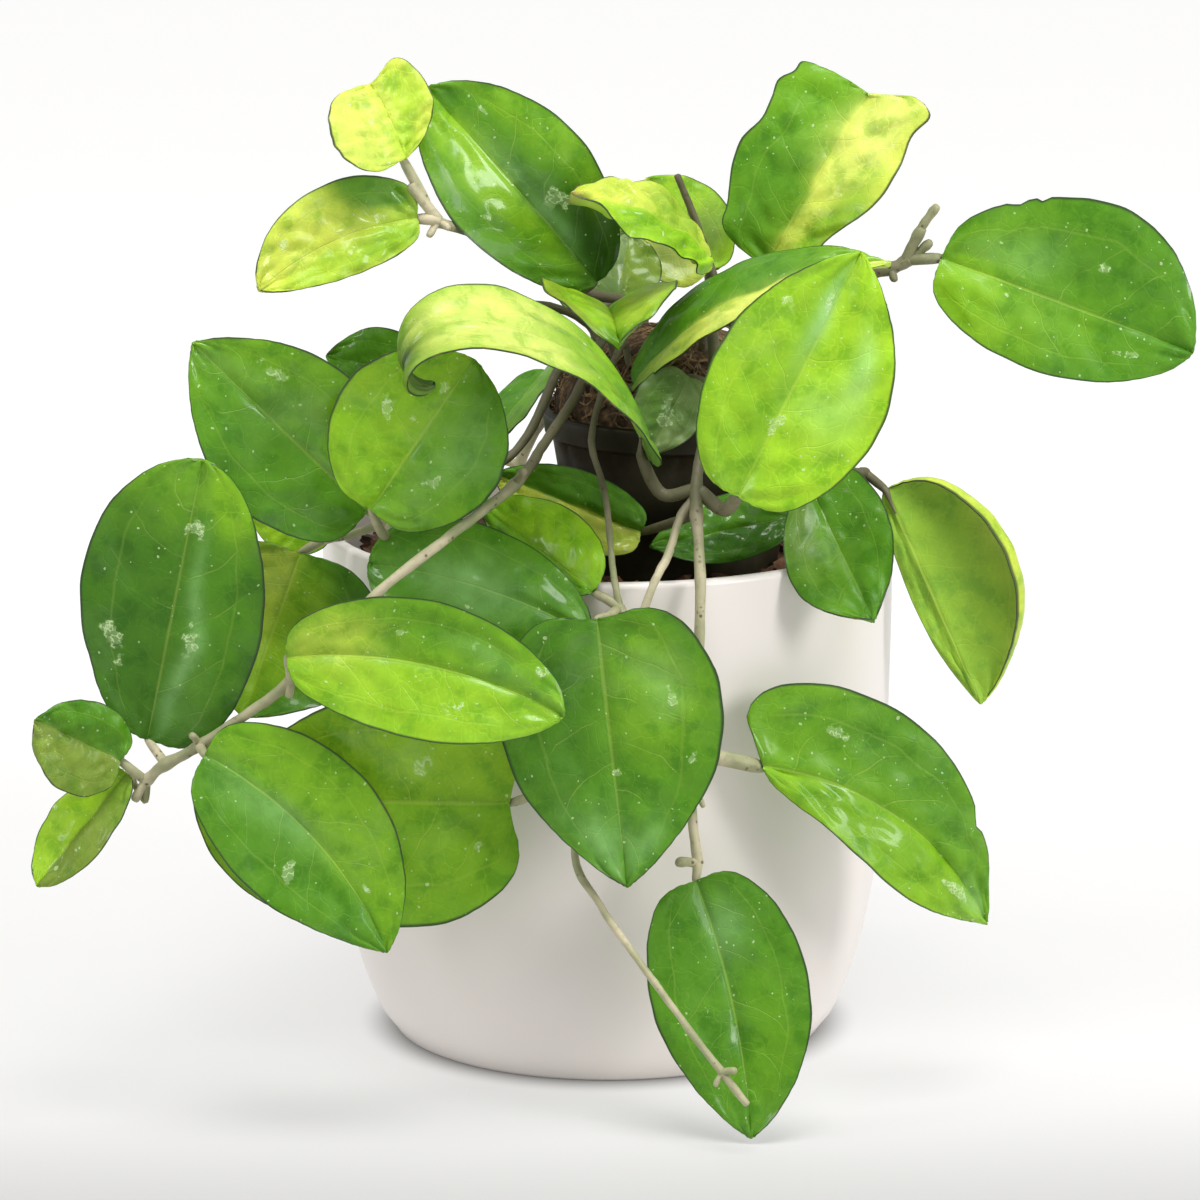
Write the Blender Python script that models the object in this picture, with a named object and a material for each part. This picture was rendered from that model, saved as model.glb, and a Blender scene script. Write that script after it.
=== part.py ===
"""Potted wax plant: a ceramic cachepot with bark mulch, a nursery pot with its root ball, vines and leaves.

Lengths in the tables are millimetres. The origin is the centre of the cachepot's foot, +Z is up, the
front of the plant looks along -Y.
"""

import math
from dataclasses import dataclass

import bmesh
import bpy
from mathutils import Matrix, Vector

MM = 0.001
GAP = 0.3

# Cachepot: an outer wall that flares out of a narrower foot.
POT_HEIGHT = 145.0
POT_MOUTH_RADIUS = 80.2
POT_FLARE = 18.7
POT_FLARE_HEIGHT = 32.0
POT_WALL = 4.0
POT_FLOOR = 6.0
POT_SIDES = 48

MULCH_TOP = 136.0

# Nursery pot, standing a little right of the cachepot's middle.
NURSERY_X = 19.0
NURSERY_RIM_Z = 178.0
NURSERY_FLOOR_Z = 113.0
NURSERY_RIM_RADIUS = 36.0
NURSERY_FOOT_RADIUS = 25.0
NURSERY_WALL = 1.2
NURSERY_LIP = 2.0
NURSERY_SIDES = 32

CROWN_HEIGHT = 23.0
CROWN_RADIUS = NURSERY_RIM_RADIUS - NURSERY_WALL - 2 * GAP

# Leaves: where along the midrib the skin's rings stand, and the stalk's size.
RING_SHARES = (0.03, 0.13, 0.28, 0.45, 0.62, 0.78, 0.91)
STALK_RADIUS = 1.5
STALK_START = 3.7
STALK_RING_GAP = 1.8
BLADE_THICKNESS = 1.3

GREEN = (0.10, 0.28, 0.03)
LIME = (0.30, 0.48, 0.05)
STEM = (0.42, 0.40, 0.26)


@dataclass
class Leaf:
    """One leaf. Left and right are seen from its upper face with the tip up."""

    name: str
    joint: tuple  # point on the vine that the stalk grows from
    base: tuple  # where the stalk meets the blade
    tip: tuple
    left: float  # greatest half widths
    right: float
    face: tuple = (0.0, -0.97, 0.22)  # direction the upper face looks
    bend: float = 0.0  # degrees that the midrib turns back over its length
    curl: float = 0.0  # further degrees in the last two fifths
    sweep: float = 0.0  # degrees that the midrib turns sideways, bulging right
    lift: tuple = (8.0, 8.0)  # degrees that each half rises from the midrib
    roll: tuple = (0.0, 0.0)  # further degrees at each margin
    belly: tuple = (0.43, 0.43)  # where each half is widest, as a share of the length
    heart: float = 2.0  # how far the base lobes reach back
    point: float = 0.72  # 0.5 gives a round tip, 1 a sharp one
    via: tuple = ()  # points that the stalk passes
    colour: tuple = GREEN


@dataclass
class Vine:
    name: str
    route: list
    start_radius: float
    end_radius: float
    colour: tuple = STEM


def vector(point):
    return Vector(point) * MM


def crown_points(angle, reach):
    """Where a vine leaves the root ball: on its dome, and 5 mm further out along the normal."""
    east = reach * math.cos(math.radians(angle))
    north = reach * math.sin(math.radians(angle))
    up = CROWN_HEIGHT * math.sqrt(1 - (reach / CROWN_RADIUS) ** 2)
    normal = Vector((east / CROWN_RADIUS**2, north / CROWN_RADIUS**2, up / CROWN_HEIGHT**2))
    normal.normalize()
    surface = Vector((NURSERY_X + east, north, NURSERY_RIM_Z + up))
    return [tuple(surface + normal * 3 * GAP), tuple(surface + normal * 7)]


FRONT_NODE = (23.6, -66, 168)

VINES = [
    Vine(
        "vine_front",
        crown_points(-65, 18)
        + [(29, -34, 198), (26.5, -50, 181), FRONT_NODE, (24.5, -82, 147), (23.8, -86, 114), (22.5, -88, 86)]
        + [(24, -92, 71)],
        2.4,
        1.5,
    ),
    Vine(
        "vine_bare",
        [(19, -71, 160.5), (16, -80, 153), (10.6, -88, 143), (-1, -90, 107), (-9, -94, 76), (-2, -102, 62)]
        + [(11, -110, 45), (24, -118, 29), (36.7, -124, 13.8)],
        1.9,
        1.3,
    ),
    Vine(
        "vine_thin",
        crown_points(-122, 25) + [(-4.4, -38, 178), (-0.9, -62, 166), (1.3, -82, 149), (3, -86, 140)],
        1.6,
        1.4,
    ),
    Vine(
        "vine_left",
        crown_points(-138, 23)
        + [(-9, -28, 186), (-17, -46, 177), (-25, -64, 169), (-44, -86, 158), (-61, -95, 146), (-84, -98, 123)]
        + [(-96, -97, 113.5), (-109, -92, 103.5), (-119, -88, 97), (-124, -85, 92)],
        2.0,
        1.6,
    ),
    Vine(
        "vine_inner_left",
        crown_points(-158, 27) + [(-22, -32, 176), (-32, -45, 169), (-46, -55, 163), (-58, -58, 158), (-70, -50, 152)]
        + [(-77, -45, 150)],
        1.8,
        1.4,
    ),
    Vine(
        "vine_upper_left",
        crown_points(178, 22) + [(-20, -8, 208), (-43, -22, 206), (-58, -34, 198), (-66, -37, 195)],
        1.6,
        1.3,
    ),
    Vine(
        "vine_top_left",
        crown_points(150, 13) + [(-6, -1, 210), (-20, -5, 218), (-34, -15, 228), (-46, -35, 235.5)],
        2.0,
        1.6,
    ),
    Vine("vine_cut", crown_points(-45, 13) + [(29, -13, 216), (25, -15, 230), (19, -18, 245.5)], 1.7, 1.4),
    Vine("vine_right", crown_points(8, 23) + [(56, -2, 211), (77, -9, 218), (83, -10, 221)], 1.9, 1.6),
    Vine("vine_rim_right", crown_points(-32, 29) + [(54, -30, 176), (66, -28, 166), (71, -20, 163)], 1.7, 1.4),
    Vine(
        "vine_rear_right",
        crown_points(62, 24) + [(42, 44, 184), (46, 68, 166), (50, 84, 142), (52, 90, 108), (50, 90, 84)],
        2.0,
        1.5,
    ),
    Vine(
        "vine_rear_left",
        crown_points(112, 24) + [(0, 42, 185), (-14, 64, 168), (-26, 84, 144), (-34, 90, 112), (-36, 90, 92)],
        2.0,
        1.5,
    ),
]

LEAVES = [
    Leaf("leaf_top_small", (-46, -35, 236), (-54.5, -38, 253.5), (-64.5, -29, 275), 17.5, 16.5,
         face=(0.4, -0.75, 0.5), bend=20, lift=(14, 22), belly=(0.60, 0.62), point=0.4, heart=1,
         via=((-49.5, -36.5, 243.5),), colour=LIME),
    Leaf("leaf_small_left", (-46, -35, 236), (-51.7, -37, 237), (-93.6, -52, 220), 11, 15, sweep=35, colour=LIME),
    Leaf("leaf_upper_left", (-8, -7, 211), (-3, -12, 215), (-49.5, -22, 270), 16, 22, face=(0.1, -0.9, 0.3),
         bend=20, lift=(12, 12), belly=(0.62, 0.50), point=0.6),
    Leaf("leaf_wrinkled", (28, -14, 216), (28, -21, 223), (-10, -45, 244), 10, 12, face=(0.2, -0.5, 0.85),
         bend=50, lift=(-10, 5), point=0.6, colour=LIME),
    Leaf("leaf_behind_pale", (30, 22, 200), (28, 20, 212), (11, 34, 237), 15, 15, bend=20),
    Leaf("leaf_behind_grey", (-2, 8, 204), (3, 12, 206), (6, 20, 224), 12, 11, bend=20),
    Leaf("leaf_top_right", (52, -1, 211), (44, -4, 218), (73, 2, 267), 24, 21, face=(-0.2, -0.9, 0.3),
         bend=30, lift=(10, 16), belly=(0.56, 0.60), point=0.3, via=((46, -6, 212),)),
    Leaf("leaf_folded_front", (-2, -12, 203), (0, -18, 209), (3, -58, 206), 20, 22, face=(0, -0.2, 1),
         bend=20, lift=(28, 28), belly=(0.4, 0.4), colour=LIME),
    Leaf("leaf_strap_right", (1, -31, 187), (7, -30, 190), (76, -44, 226), 14, 13, face=(-0.35, -0.4, 0.85),
         bend=60, lift=(8, 8), colour=LIME),
    Leaf("leaf_bright", (24.6, -66.5, 167.5), (34.5, -80, 169), (67, -74, 233.5), 23, 26, belly=(0.45, 0.45),
         via=((31, -69, 163),), colour=LIME),
    Leaf("leaf_far_right", (83, -10, 221), (92, -12, 221.8), (160.7, -20, 197), 30.5, 20.5, belly=(0.55, 0.45),
         point=0.57, heart=4),
    Leaf("leaf_arch", FRONT_NODE, (11.3, -62, 176), (-46, -88, 200), 19, 19, face=(-0.1, -0.55, 0.8),
         bend=110, curl=100, lift=(6, 0), belly=(0.5, 0.5), point=0.5, via=((14.5, -63, 166),), colour=LIME),
    Leaf("leaf_round_left", (-58, -58, 158), (-63.5, -76, 164.5), (-36, -76, 205), 24.5, 24.5, heart=3,
         belly=(0.5, 0.5), point=0.5, via=((-60, -70, 156),)),
    Leaf("leaf_big_left", (-58, -58, 158), (-65, -62, 161), (-111, -62, 207), 23, 23, belly=(0.42, 0.42)),
    Leaf("leaf_behind_left", (-66, -37, 195), (-52, -28, 192), (-77, -26, 197), 10, 11, via=((-60, -33, 190),)),
    Leaf("leaf_leftmost", (-118, -88, 97), (-124, -79, 102), (-108.3, -72, 177), 26, 25, belly=(0.58, 0.43),
         point=0.46, heart=3),
    Leaf("leaf_pale_left", (-77, -45, 150), (-84, -46, 146), (-99, -62, 104), 21, 23, colour=LIME),
    Leaf("leaf_yellow_behind", (-77, -45, 150), (-76, -36, 152), (-99, -34, 157), 11, 11, colour=LIME),
    Leaf("leaf_dark_mid", (3, -86, 140), (-5, -91, 134), (-64, -72, 149), 18, 16, face=(-0.1, -0.85, 0.5),
         sweep=22, lift=(-12, 0), via=((-0.5, -90.5, 135),)),
    Leaf("leaf_pale_mid", (3, -86, 140), (-4, -83, 144), (-35, -60, 163), 7, 14, face=(-0.1, -0.85, 0.5),
         lift=(10, 0), heart=0, colour=LIME),
    Leaf("leaf_front_left", (-84, -98, 123), (-84.7, -104, 130.7), (-12, -116, 117.7), 17, 20, sweep=-35,
         colour=LIME),
    Leaf("leaf_heart", (3, -86, 140), (-3, -98, 139.5), (5, -106, 68.7), 31, 29, belly=(0.37, 0.37), heart=4,
         point=0.8, via=((2, -94, 142),)),
    Leaf("leaf_low_left", (-109, -92, 103.5), (-107, -100, 103), (-58.7, -114, 53), 21, 22, sweep=-40,
         belly=(0.45, 0.45)),
    Leaf("leaf_low_back", (-109, -92, 103.5), (-103, -86, 101), (-78, -84, 54), 16, 17, colour=LIME),
    Leaf("leaf_low_mid", (-5, -91, 95), (-26.5, -88, 86.5), (-102, -92, 89), 34, 30, heart=6, belly=(0.4, 0.4),
         point=0.65),
    Leaf("leaf_end_upper", (-124, -85, 92), (-130.5, -87, 98), (-152, -94, 111), 14, 12, point=0.5, colour=LIME),
    Leaf("leaf_end_lower", (-124, -85, 92), (-131, -84, 88), (-152, -92, 66.4), 8, 8, face=(-0.5, -0.8, 0.3),
         via=((-124, -85, 85), (-130, -84, 83)), colour=LIME),
    Leaf("leaf_right", (23.5, -87, 100), (41.5, -84, 96), (103, -66, 47), 33, 9, face=(0.1, -0.9, 0.4),
         sweep=-15, bend=30, heart=9, belly=(0.3, 0.3), point=0.85),
    Leaf("leaf_bottom", (24, -92, 71), (23.5, -97, 67.5), (38, -116, 2), 21.5, 21.5, sweep=-18),
    Leaf("leaf_rim_right", (54, -30, 176), (53, -42, 168), (71, -78, 135), 16, 16, belly=(0.43, 0.58)),
    Leaf("leaf_drop_right", (71, -20, 163), (76.5, -26, 159.5), (103, -34, 101), 6, 26, face=(0.1, 0.97, -0.2),
         belly=(0.5, 0.5)),
    Leaf("leaf_inner_left", (24, -70, 162), (9, -46, 152), (-31, -41, 167), 12, 10, via=((17, -58, 157),),
         colour=LIME),
    Leaf("leaf_inner_mid", (28, -40, 192), (21, -42, 193), (11, -47, 175), 7, 9),
    Leaf("leaf_inner_right", (60, -28, 170), (49, -32, 153), (12, -46, 148), 9, 10),
    Leaf("leaf_rear_high", (42, 44, 184), (51, 46, 186), (80, 62, 196), 17, 17, face=(0.1, 0.9, 0.4), bend=20),
    Leaf("leaf_rear_right", (50, 84, 142), (62, 83, 138), (69, 93, 76), 16, 16, face=(0.2, 0.95, 0.2), bend=15),
    Leaf("leaf_rear_middle", (50, 84, 142), (44, 92, 138), (4, 104, 104), 22, 22, face=(0, 0.97, 0.2), bend=20),
    Leaf("leaf_rear_low", (50, 90, 84), (50, 92, 76), (44, 104, 12), 22, 22, face=(0, 0.97, 0.2), bend=15),
    Leaf("leaf_rear_crown", (0, 42, 185), (3, 46, 193), (-14, 52, 238), 15, 15, face=(-0.1, 0.9, 0.3), bend=20),
    Leaf("leaf_rear_inner", (0, 42, 185), (-18, 34, 182), (-40, -4, 160), 13, 13, face=(-0.6, -0.3, 0.7)),
    Leaf("leaf_rear_left", (-26, 84, 144), (-36, 84, 147), (-85, 66, 126), 22, 22, face=(-0.3, 0.9, 0.2), bend=20),
    Leaf("leaf_rear_bottom", (-36, 90, 92), (-37, 92, 84), (-42, 102, 26), 21, 21, face=(0, 0.97, 0.2), bend=15),
]


def clear_scene():
    for obj in list(bpy.data.objects):
        bpy.data.objects.remove(obj, do_unlink=True)


def material(name, colour, roughness, metallic=0.0):
    made = bpy.data.materials.new(name)
    made.use_nodes = True
    shader = made.node_tree.nodes["Principled BSDF"]
    shader.inputs["Base Color"].default_value = (*colour, 1.0)
    shader.inputs["Roughness"].default_value = roughness
    shader.inputs["Metallic"].default_value = metallic
    return made


def add_object(name, mesh, *finish):
    obj = bpy.data.objects.new(name, mesh)
    obj.data.materials.append(material(name, *finish))
    bpy.context.scene.collection.objects.link(obj)
    return obj


def mesh_of(name, bm):
    bmesh.ops.recalc_face_normals(bm, faces=bm.faces)
    mesh = bpy.data.meshes.new(name)
    bm.to_mesh(mesh)
    bm.free()
    mesh.shade_smooth()
    mesh.set_sharp_from_angle(angle=math.radians(40))
    return mesh


def turned(name, profile, sides, centre_x=0.0):
    """A closed body turned about the vertical through centre_x from (radius, height) points.

    The profile starts and ends on the axis.
    """
    bm = bmesh.new()
    points = [bm.verts.new(vector((radius, 0, height))) for radius, height in profile]
    edges = [bm.edges.new(pair) for pair in zip(points, points[1:])]
    bmesh.ops.spin(
        bm, geom=points + edges, axis=(0, 0, 1), cent=(0, 0, 0), steps=sides, angle=math.tau, use_merge=True
    )
    bmesh.ops.remove_doubles(bm, verts=bm.verts, dist=1e-6)
    bmesh.ops.translate(bm, verts=bm.verts, vec=vector((centre_x, 0, 0)))
    return mesh_of(name, bm)


def pot_radius(height):
    return POT_MOUTH_RADIUS - POT_FLARE * math.exp(-height / POT_FLARE_HEIGHT)


def build_pot():
    """Cachepot with a rounded lip and a foot edge just off the floor."""
    heights = [2, 6, 12, 20, 32, 48, 70, 100, 125, POT_HEIGHT - 1.5]
    outer = [(0, 0), (pot_radius(0) - 1.5, 0)] + [(pot_radius(z), z) for z in heights]
    lip = [(pot_radius(POT_HEIGHT) - 0.8, POT_HEIGHT), (pot_radius(POT_HEIGHT) - POT_WALL + 0.8, POT_HEIGHT)]
    inner = [(pot_radius(z) - POT_WALL, z) for z in reversed(heights[1:])]
    profile = outer + lip + inner + [(0, POT_FLOOR)]
    add_object("cachepot", turned("cachepot", profile, POT_SIDES), (0.86, 0.84, 0.82), 0.38)


def build_mulch():
    """Bark mulch filling the cachepot, hollowed where the nursery pot stands in it."""
    heights = [9, 16, 28, 48, 80, MULCH_TOP - 1.5]
    wall = [(pot_radius(z) - POT_WALL - 3 * GAP, z) for z in heights]
    profile = [(0, POT_FLOOR + GAP), (wall[0][0] - 4, POT_FLOOR + GAP)] + wall + [(60, MULCH_TOP), (0, MULCH_TOP)]
    mulch = add_object("bark_mulch", turned("bark_mulch", profile, POT_SIDES), (0.07, 0.045, 0.03), 0.95)
    cutter_profile = [
        (0, NURSERY_FLOOR_Z - GAP),
        (nursery_radius(NURSERY_FLOOR_Z) + GAP, NURSERY_FLOOR_Z - GAP),
        (nursery_radius(MULCH_TOP + 10) + GAP, MULCH_TOP + 10),
        (0, MULCH_TOP + 10),
    ]
    cutter = bpy.data.objects.new(
        "nursery_pot_hollow", turned("nursery_pot_hollow", cutter_profile, NURSERY_SIDES, NURSERY_X)
    )
    bpy.context.scene.collection.objects.link(cutter)
    cutter.hide_render = True
    cutter.display_type = "WIRE"
    hollow = mulch.modifiers.new("hollow", "BOOLEAN")
    hollow.operation = "DIFFERENCE"
    hollow.solver = "EXACT"
    hollow.object = cutter


def nursery_radius(height):
    share = (height - NURSERY_FLOOR_Z) / (NURSERY_RIM_Z - NURSERY_FLOOR_Z)
    return NURSERY_FOOT_RADIUS + (NURSERY_RIM_RADIUS - NURSERY_FOOT_RADIUS) * share


def build_nursery_pot():
    """Thin plastic pot with an outward lip."""
    rim = NURSERY_RIM_Z
    profile = [
        (0, NURSERY_FLOOR_Z),
        (nursery_radius(NURSERY_FLOOR_Z), NURSERY_FLOOR_Z),
        (nursery_radius(rim - 6), rim - 6),
        (nursery_radius(rim - 6) + NURSERY_LIP, rim - 5),
        (nursery_radius(rim) + NURSERY_LIP, rim),
        (nursery_radius(rim) - NURSERY_WALL, rim),
        (nursery_radius(NURSERY_FLOOR_Z + NURSERY_WALL) - NURSERY_WALL, NURSERY_FLOOR_Z + NURSERY_WALL),
        (0, NURSERY_FLOOR_Z + NURSERY_WALL),
    ]
    mesh = turned("nursery_pot", profile, NURSERY_SIDES, NURSERY_X)
    add_object("nursery_pot", mesh, (0.05, 0.045, 0.03), 0.6)


def build_root_ball():
    """Coir and roots that fill the nursery pot and dome above its rim."""
    foot = NURSERY_FLOOR_Z + NURSERY_WALL + GAP
    waist = NURSERY_RIM_Z - 1
    profile = [
        (0, foot),
        (nursery_radius(foot) - NURSERY_WALL - GAP, foot),
        (nursery_radius(waist) - NURSERY_WALL - GAP, waist),
    ]
    steps = 7
    for step in range(steps + 1):
        turn = math.pi / 2 * step / steps
        profile.append((CROWN_RADIUS * math.cos(turn), NURSERY_RIM_Z + CROWN_HEIGHT * math.sin(turn)))
    profile[-1] = (0, NURSERY_RIM_Z + CROWN_HEIGHT)
    add_object("root_ball", turned("root_ball", profile, NURSERY_SIDES, NURSERY_X), (0.12, 0.07, 0.035), 0.95)


def smooth_route(points, per_span):
    """Points on a centripetal-like Catmull-Rom curve through the given points."""
    points = [Vector(point) for point in points]
    padded = [points[0] * 2 - points[1]] + points + [points[-1] * 2 - points[-2]]
    route = []
    for before, start, end, after in zip(padded, padded[1:], padded[2:], padded[3:]):
        for step in range(per_span):
            t = step / per_span
            route.append(
                0.5
                * (
                    2 * start
                    + (end - before) * t
                    + (2 * before - 5 * start + 4 * end - after) * t**2
                    + (3 * start - before - 3 * end + after) * t**3
                )
            )
    route.append(points[-1])
    return route


def build_vine(vine):
    curve = bpy.data.curves.new(vine.name, "CURVE")
    curve.dimensions = "3D"
    curve.bevel_depth = MM
    curve.bevel_resolution = 1
    curve.use_fill_caps = True
    route = smooth_route(vine.route, 2)
    spline = curve.splines.new("POLY")
    spline.points.add(len(route) - 1)
    for index, point in enumerate(route):
        share = index / (len(route) - 1)
        spline.points[index].co = (*(point * MM), 1.0)
        spline.points[index].radius = vine.start_radius + (vine.end_radius - vine.start_radius) * share
    add_object(vine.name, curve, vine.colour, 0.75)


def leaf_stations(leaf, shares):
    """Frames (point, along, side, up) down the midrib, which starts at the base and ends at the tip."""
    base, tip = Vector(leaf.base), Vector(leaf.tip)
    along = (tip - base).normalized()
    side = along.cross(Vector(leaf.face)).normalized()
    up = side.cross(along)
    fine = 60
    place = Vector()
    frames = []
    for index in range(fine + 1):
        t = index / fine
        late = max(0.0, (t - 0.6) / 0.4)
        pitch = math.radians(leaf.bend * (0.5 - t) - leaf.curl * late**2)
        yaw = math.radians(leaf.sweep * (0.5 - t))
        heading = Vector((math.cos(pitch) * math.cos(yaw), math.sin(yaw), math.sin(pitch))).normalized()
        normal = Vector((-math.sin(pitch), 0, math.cos(pitch)))
        across = normal.cross(heading).normalized()
        frames.append((place.copy(), heading, across, heading.cross(across)))
        place = place + heading / fine
    chord = frames[-1][0]
    scale = (tip - base).length / chord.length
    # Local axes: x along the chord, y to the right, z out of the upper face.
    straighten = chord.rotation_difference(Vector((1, 0, 0))).to_matrix()
    to_world = Matrix((along, side, up)).transposed() @ straighten
    stations = []
    for share in shares:
        place, heading, across, normal = frames[round(share * fine)]
        stations.append((base + to_world @ (place * scale), to_world @ heading, to_world @ across, to_world @ normal))
    return stations


def half_width_share(leaf, hand, t):
    """A half's width at t, as a share of its greatest."""
    warp = math.log(0.5) / math.log(leaf.belly[hand])
    power = 0.46 + (leaf.point - 0.46) * t
    return max(0.0, math.sin(math.pi * t**warp)) ** power


def blade_point(leaf, station, t, s):
    """The point of the blade's middle surface at t along and s across, s from -1 at the left to 1."""
    place, along, side, up = station
    hand = 1 if s > 0 else 0
    width = (leaf.left, leaf.right)[hand] * half_width_share(leaf, hand, t)
    steps = 6
    reach = rise = 0.0
    for step in range(steps):
        part = abs(s) * (step + 0.5) / steps
        angle = math.radians(leaf.lift[hand] + leaf.roll[hand] * part**2)
        reach += math.cos(angle) * abs(s) / steps
        rise += math.sin(angle) * abs(s) / steps
    sign = 1 if hand else -1
    back = leaf.heart * s * s * (1 - t) ** 3
    return place + side * (sign * reach * width) + up * (rise * width) - along * back


def ring_round(place, along, side, radius):
    """Eight points round a stalk, in the order of a blade's ring: left edge, over the top, right edge, under."""
    side = (side - along * side.dot(along)).normalized()
    up = side.cross(along)
    ring = []
    for step in range(8):
        turn = math.pi - step * math.pi / 4
        ring.append(place + side * math.cos(turn) * radius + up * math.sin(turn) * radius)
    return ring


def blade_ring(leaf, station, t):
    """Eight points round the blade at t: its two edges, three points above and three below."""
    place, along, side, up = station
    half = BLADE_THICKNESS / 2
    thickness = {-0.5: 0.7 * half, 0: half, 0.5: 0.7 * half}
    over = [blade_point(leaf, station, t, s) + up * thickness[s] for s in (-0.5, 0, 0.5)]
    under = [blade_point(leaf, station, t, s) - up * thickness[s] for s in (0.5, 0, -0.5)]
    return [blade_point(leaf, station, t, -1)] + over + [blade_point(leaf, station, t, 1)] + under


def skin(name, rings, tip):
    """A closed body over rings of eight points, capped at the first ring and ending in one point."""
    bm = bmesh.new()
    rows = [[bm.verts.new(point * MM) for point in ring] for ring in rings]
    end = bm.verts.new(tip * MM)
    bm.faces.new(rows[0])
    for row, after in zip(rows, rows[1:]):
        for index in range(8):
            following = (index + 1) % 8
            bm.faces.new((row[index], row[following], after[following], after[index]))
    for index in range(8):
        bm.faces.new((rows[-1][index], rows[-1][(index + 1) % 8], end))
    return mesh_of(name, bm)


def stalk_rings(leaf, first):
    """Rings from just off the vine to the blade's base."""
    joint, base = Vector(leaf.joint), Vector(leaf.base)
    _, along, side, _ = first
    turns = [Vector(point) for point in leaf.via]
    leave = ((turns or [base])[0] - joint).normalized()
    start = joint + leave * STALK_START
    route = smooth_route([start, *(turns or [(start + base) / 2]), base], 2)
    places = [start]
    for point in route[1:-1]:
        if min((point - places[-1]).length, (point - base).length) > STALK_RING_GAP:
            places.append(point)
    places.append(base)
    rings = []
    for index, point in enumerate(places[:-1]):
        heading = (places[index + 1] - places[max(index - 1, 0)]).normalized()
        rings.append(ring_round(point, heading, side, STALK_RADIUS))
    rings.append(ring_round(base, along, side, STALK_RADIUS * 0.9))
    return rings


def build_leaf(leaf):
    start, *stations = leaf_stations(leaf, (0, *RING_SHARES))
    rings = stalk_rings(leaf, start)
    for station, share in zip(stations, RING_SHARES):
        rings.append(blade_ring(leaf, station, share))
    mesh = skin(leaf.name, rings, Vector(leaf.tip))
    add_object(leaf.name, mesh, leaf.colour, 0.35)


def main():
    clear_scene()
    build_pot()
    build_mulch()
    build_nursery_pot()
    build_root_ball()
    for vine in VINES:
        build_vine(vine)
    for leaf in LEAVES:
        build_leaf(leaf)


main()
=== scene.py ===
"""Looks of the potted wax plant: glazed pot, bark chips, grower's pot, root ball, vines and waxy leaves.

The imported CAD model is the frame. Lengths in the tables are millimetres, in the frame's own axes: +Z up,
origin at the middle of the pot's foot, and the fullest side of the plant towards -Y.
"""

import math
import random
from dataclasses import dataclass

import bmesh
import bpy
from bpy.props import FloatProperty, FloatVectorProperty, IntProperty, PointerProperty
from mathutils import Matrix, Vector, noise


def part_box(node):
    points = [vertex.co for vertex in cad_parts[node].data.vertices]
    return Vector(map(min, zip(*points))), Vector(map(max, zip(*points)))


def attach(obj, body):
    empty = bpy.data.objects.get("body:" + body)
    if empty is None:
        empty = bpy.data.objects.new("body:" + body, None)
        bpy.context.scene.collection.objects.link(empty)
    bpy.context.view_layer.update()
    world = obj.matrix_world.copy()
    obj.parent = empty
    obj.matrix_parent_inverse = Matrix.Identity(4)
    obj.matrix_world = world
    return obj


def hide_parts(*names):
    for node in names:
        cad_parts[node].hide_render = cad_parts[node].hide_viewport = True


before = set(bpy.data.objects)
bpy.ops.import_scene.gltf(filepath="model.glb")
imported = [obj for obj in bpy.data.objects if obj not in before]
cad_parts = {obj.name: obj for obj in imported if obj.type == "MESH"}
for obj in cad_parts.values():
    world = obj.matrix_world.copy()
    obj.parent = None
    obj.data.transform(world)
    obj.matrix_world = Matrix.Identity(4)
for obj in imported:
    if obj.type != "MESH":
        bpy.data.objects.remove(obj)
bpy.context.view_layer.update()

bl_info = {
    "name": "Potted wax plant",
    "version": (1, 0, 0),
    "blender": (4, 5, 0),
    "location": "3D View > Sidebar > Plant",
    "description": "Builds a trailing wax plant in its pot, piece by piece",
    "category": "Object",
}

MM = 0.001
BODY = "root"

# Cachepot: an outer wall that flares out of a narrower foot.
POT_MOUTH_RADIUS = 80.2
POT_FLARE = 18.7
POT_FLARE_HEIGHT = 32.0
POT_LIP = 1.6

# Nursery pot, standing a little right of the cachepot's middle, with the root ball's dome above it.
NURSERY_X = 19.0
NURSERY_RIM_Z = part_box("nursery_pot")[1].z / MM
NURSERY_FLOOR_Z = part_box("nursery_pot")[0].z / MM
NURSERY_RIM_RADIUS = 36.0
NURSERY_FOOT_RADIUS = 25.0
CROWN_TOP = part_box("root_ball")[1].z / MM
CROWN_HEIGHT = CROWN_TOP - NURSERY_RIM_Z
CROWN_RADIUS = 34.2

# Camera and stage.
CAMERA_AIM = (-0.0022, 0.0, 0.1224)
CAMERA_TILT = 12.87
CAMERA_DISTANCE = 1.641
CAMERA_LENS = 175.0


# ---------------------------------------------------------------- settings


def colour_setting(name, description, default):
    return FloatVectorProperty(
        name=name, description=description, default=default, subtype="COLOR", size=3, min=0.0, max=1.0
    )


def length_setting(name, description, default_mm):
    return FloatProperty(
        name=name, description=description, default=default_mm * MM, min=0.0, unit="LENGTH"
    )


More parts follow.
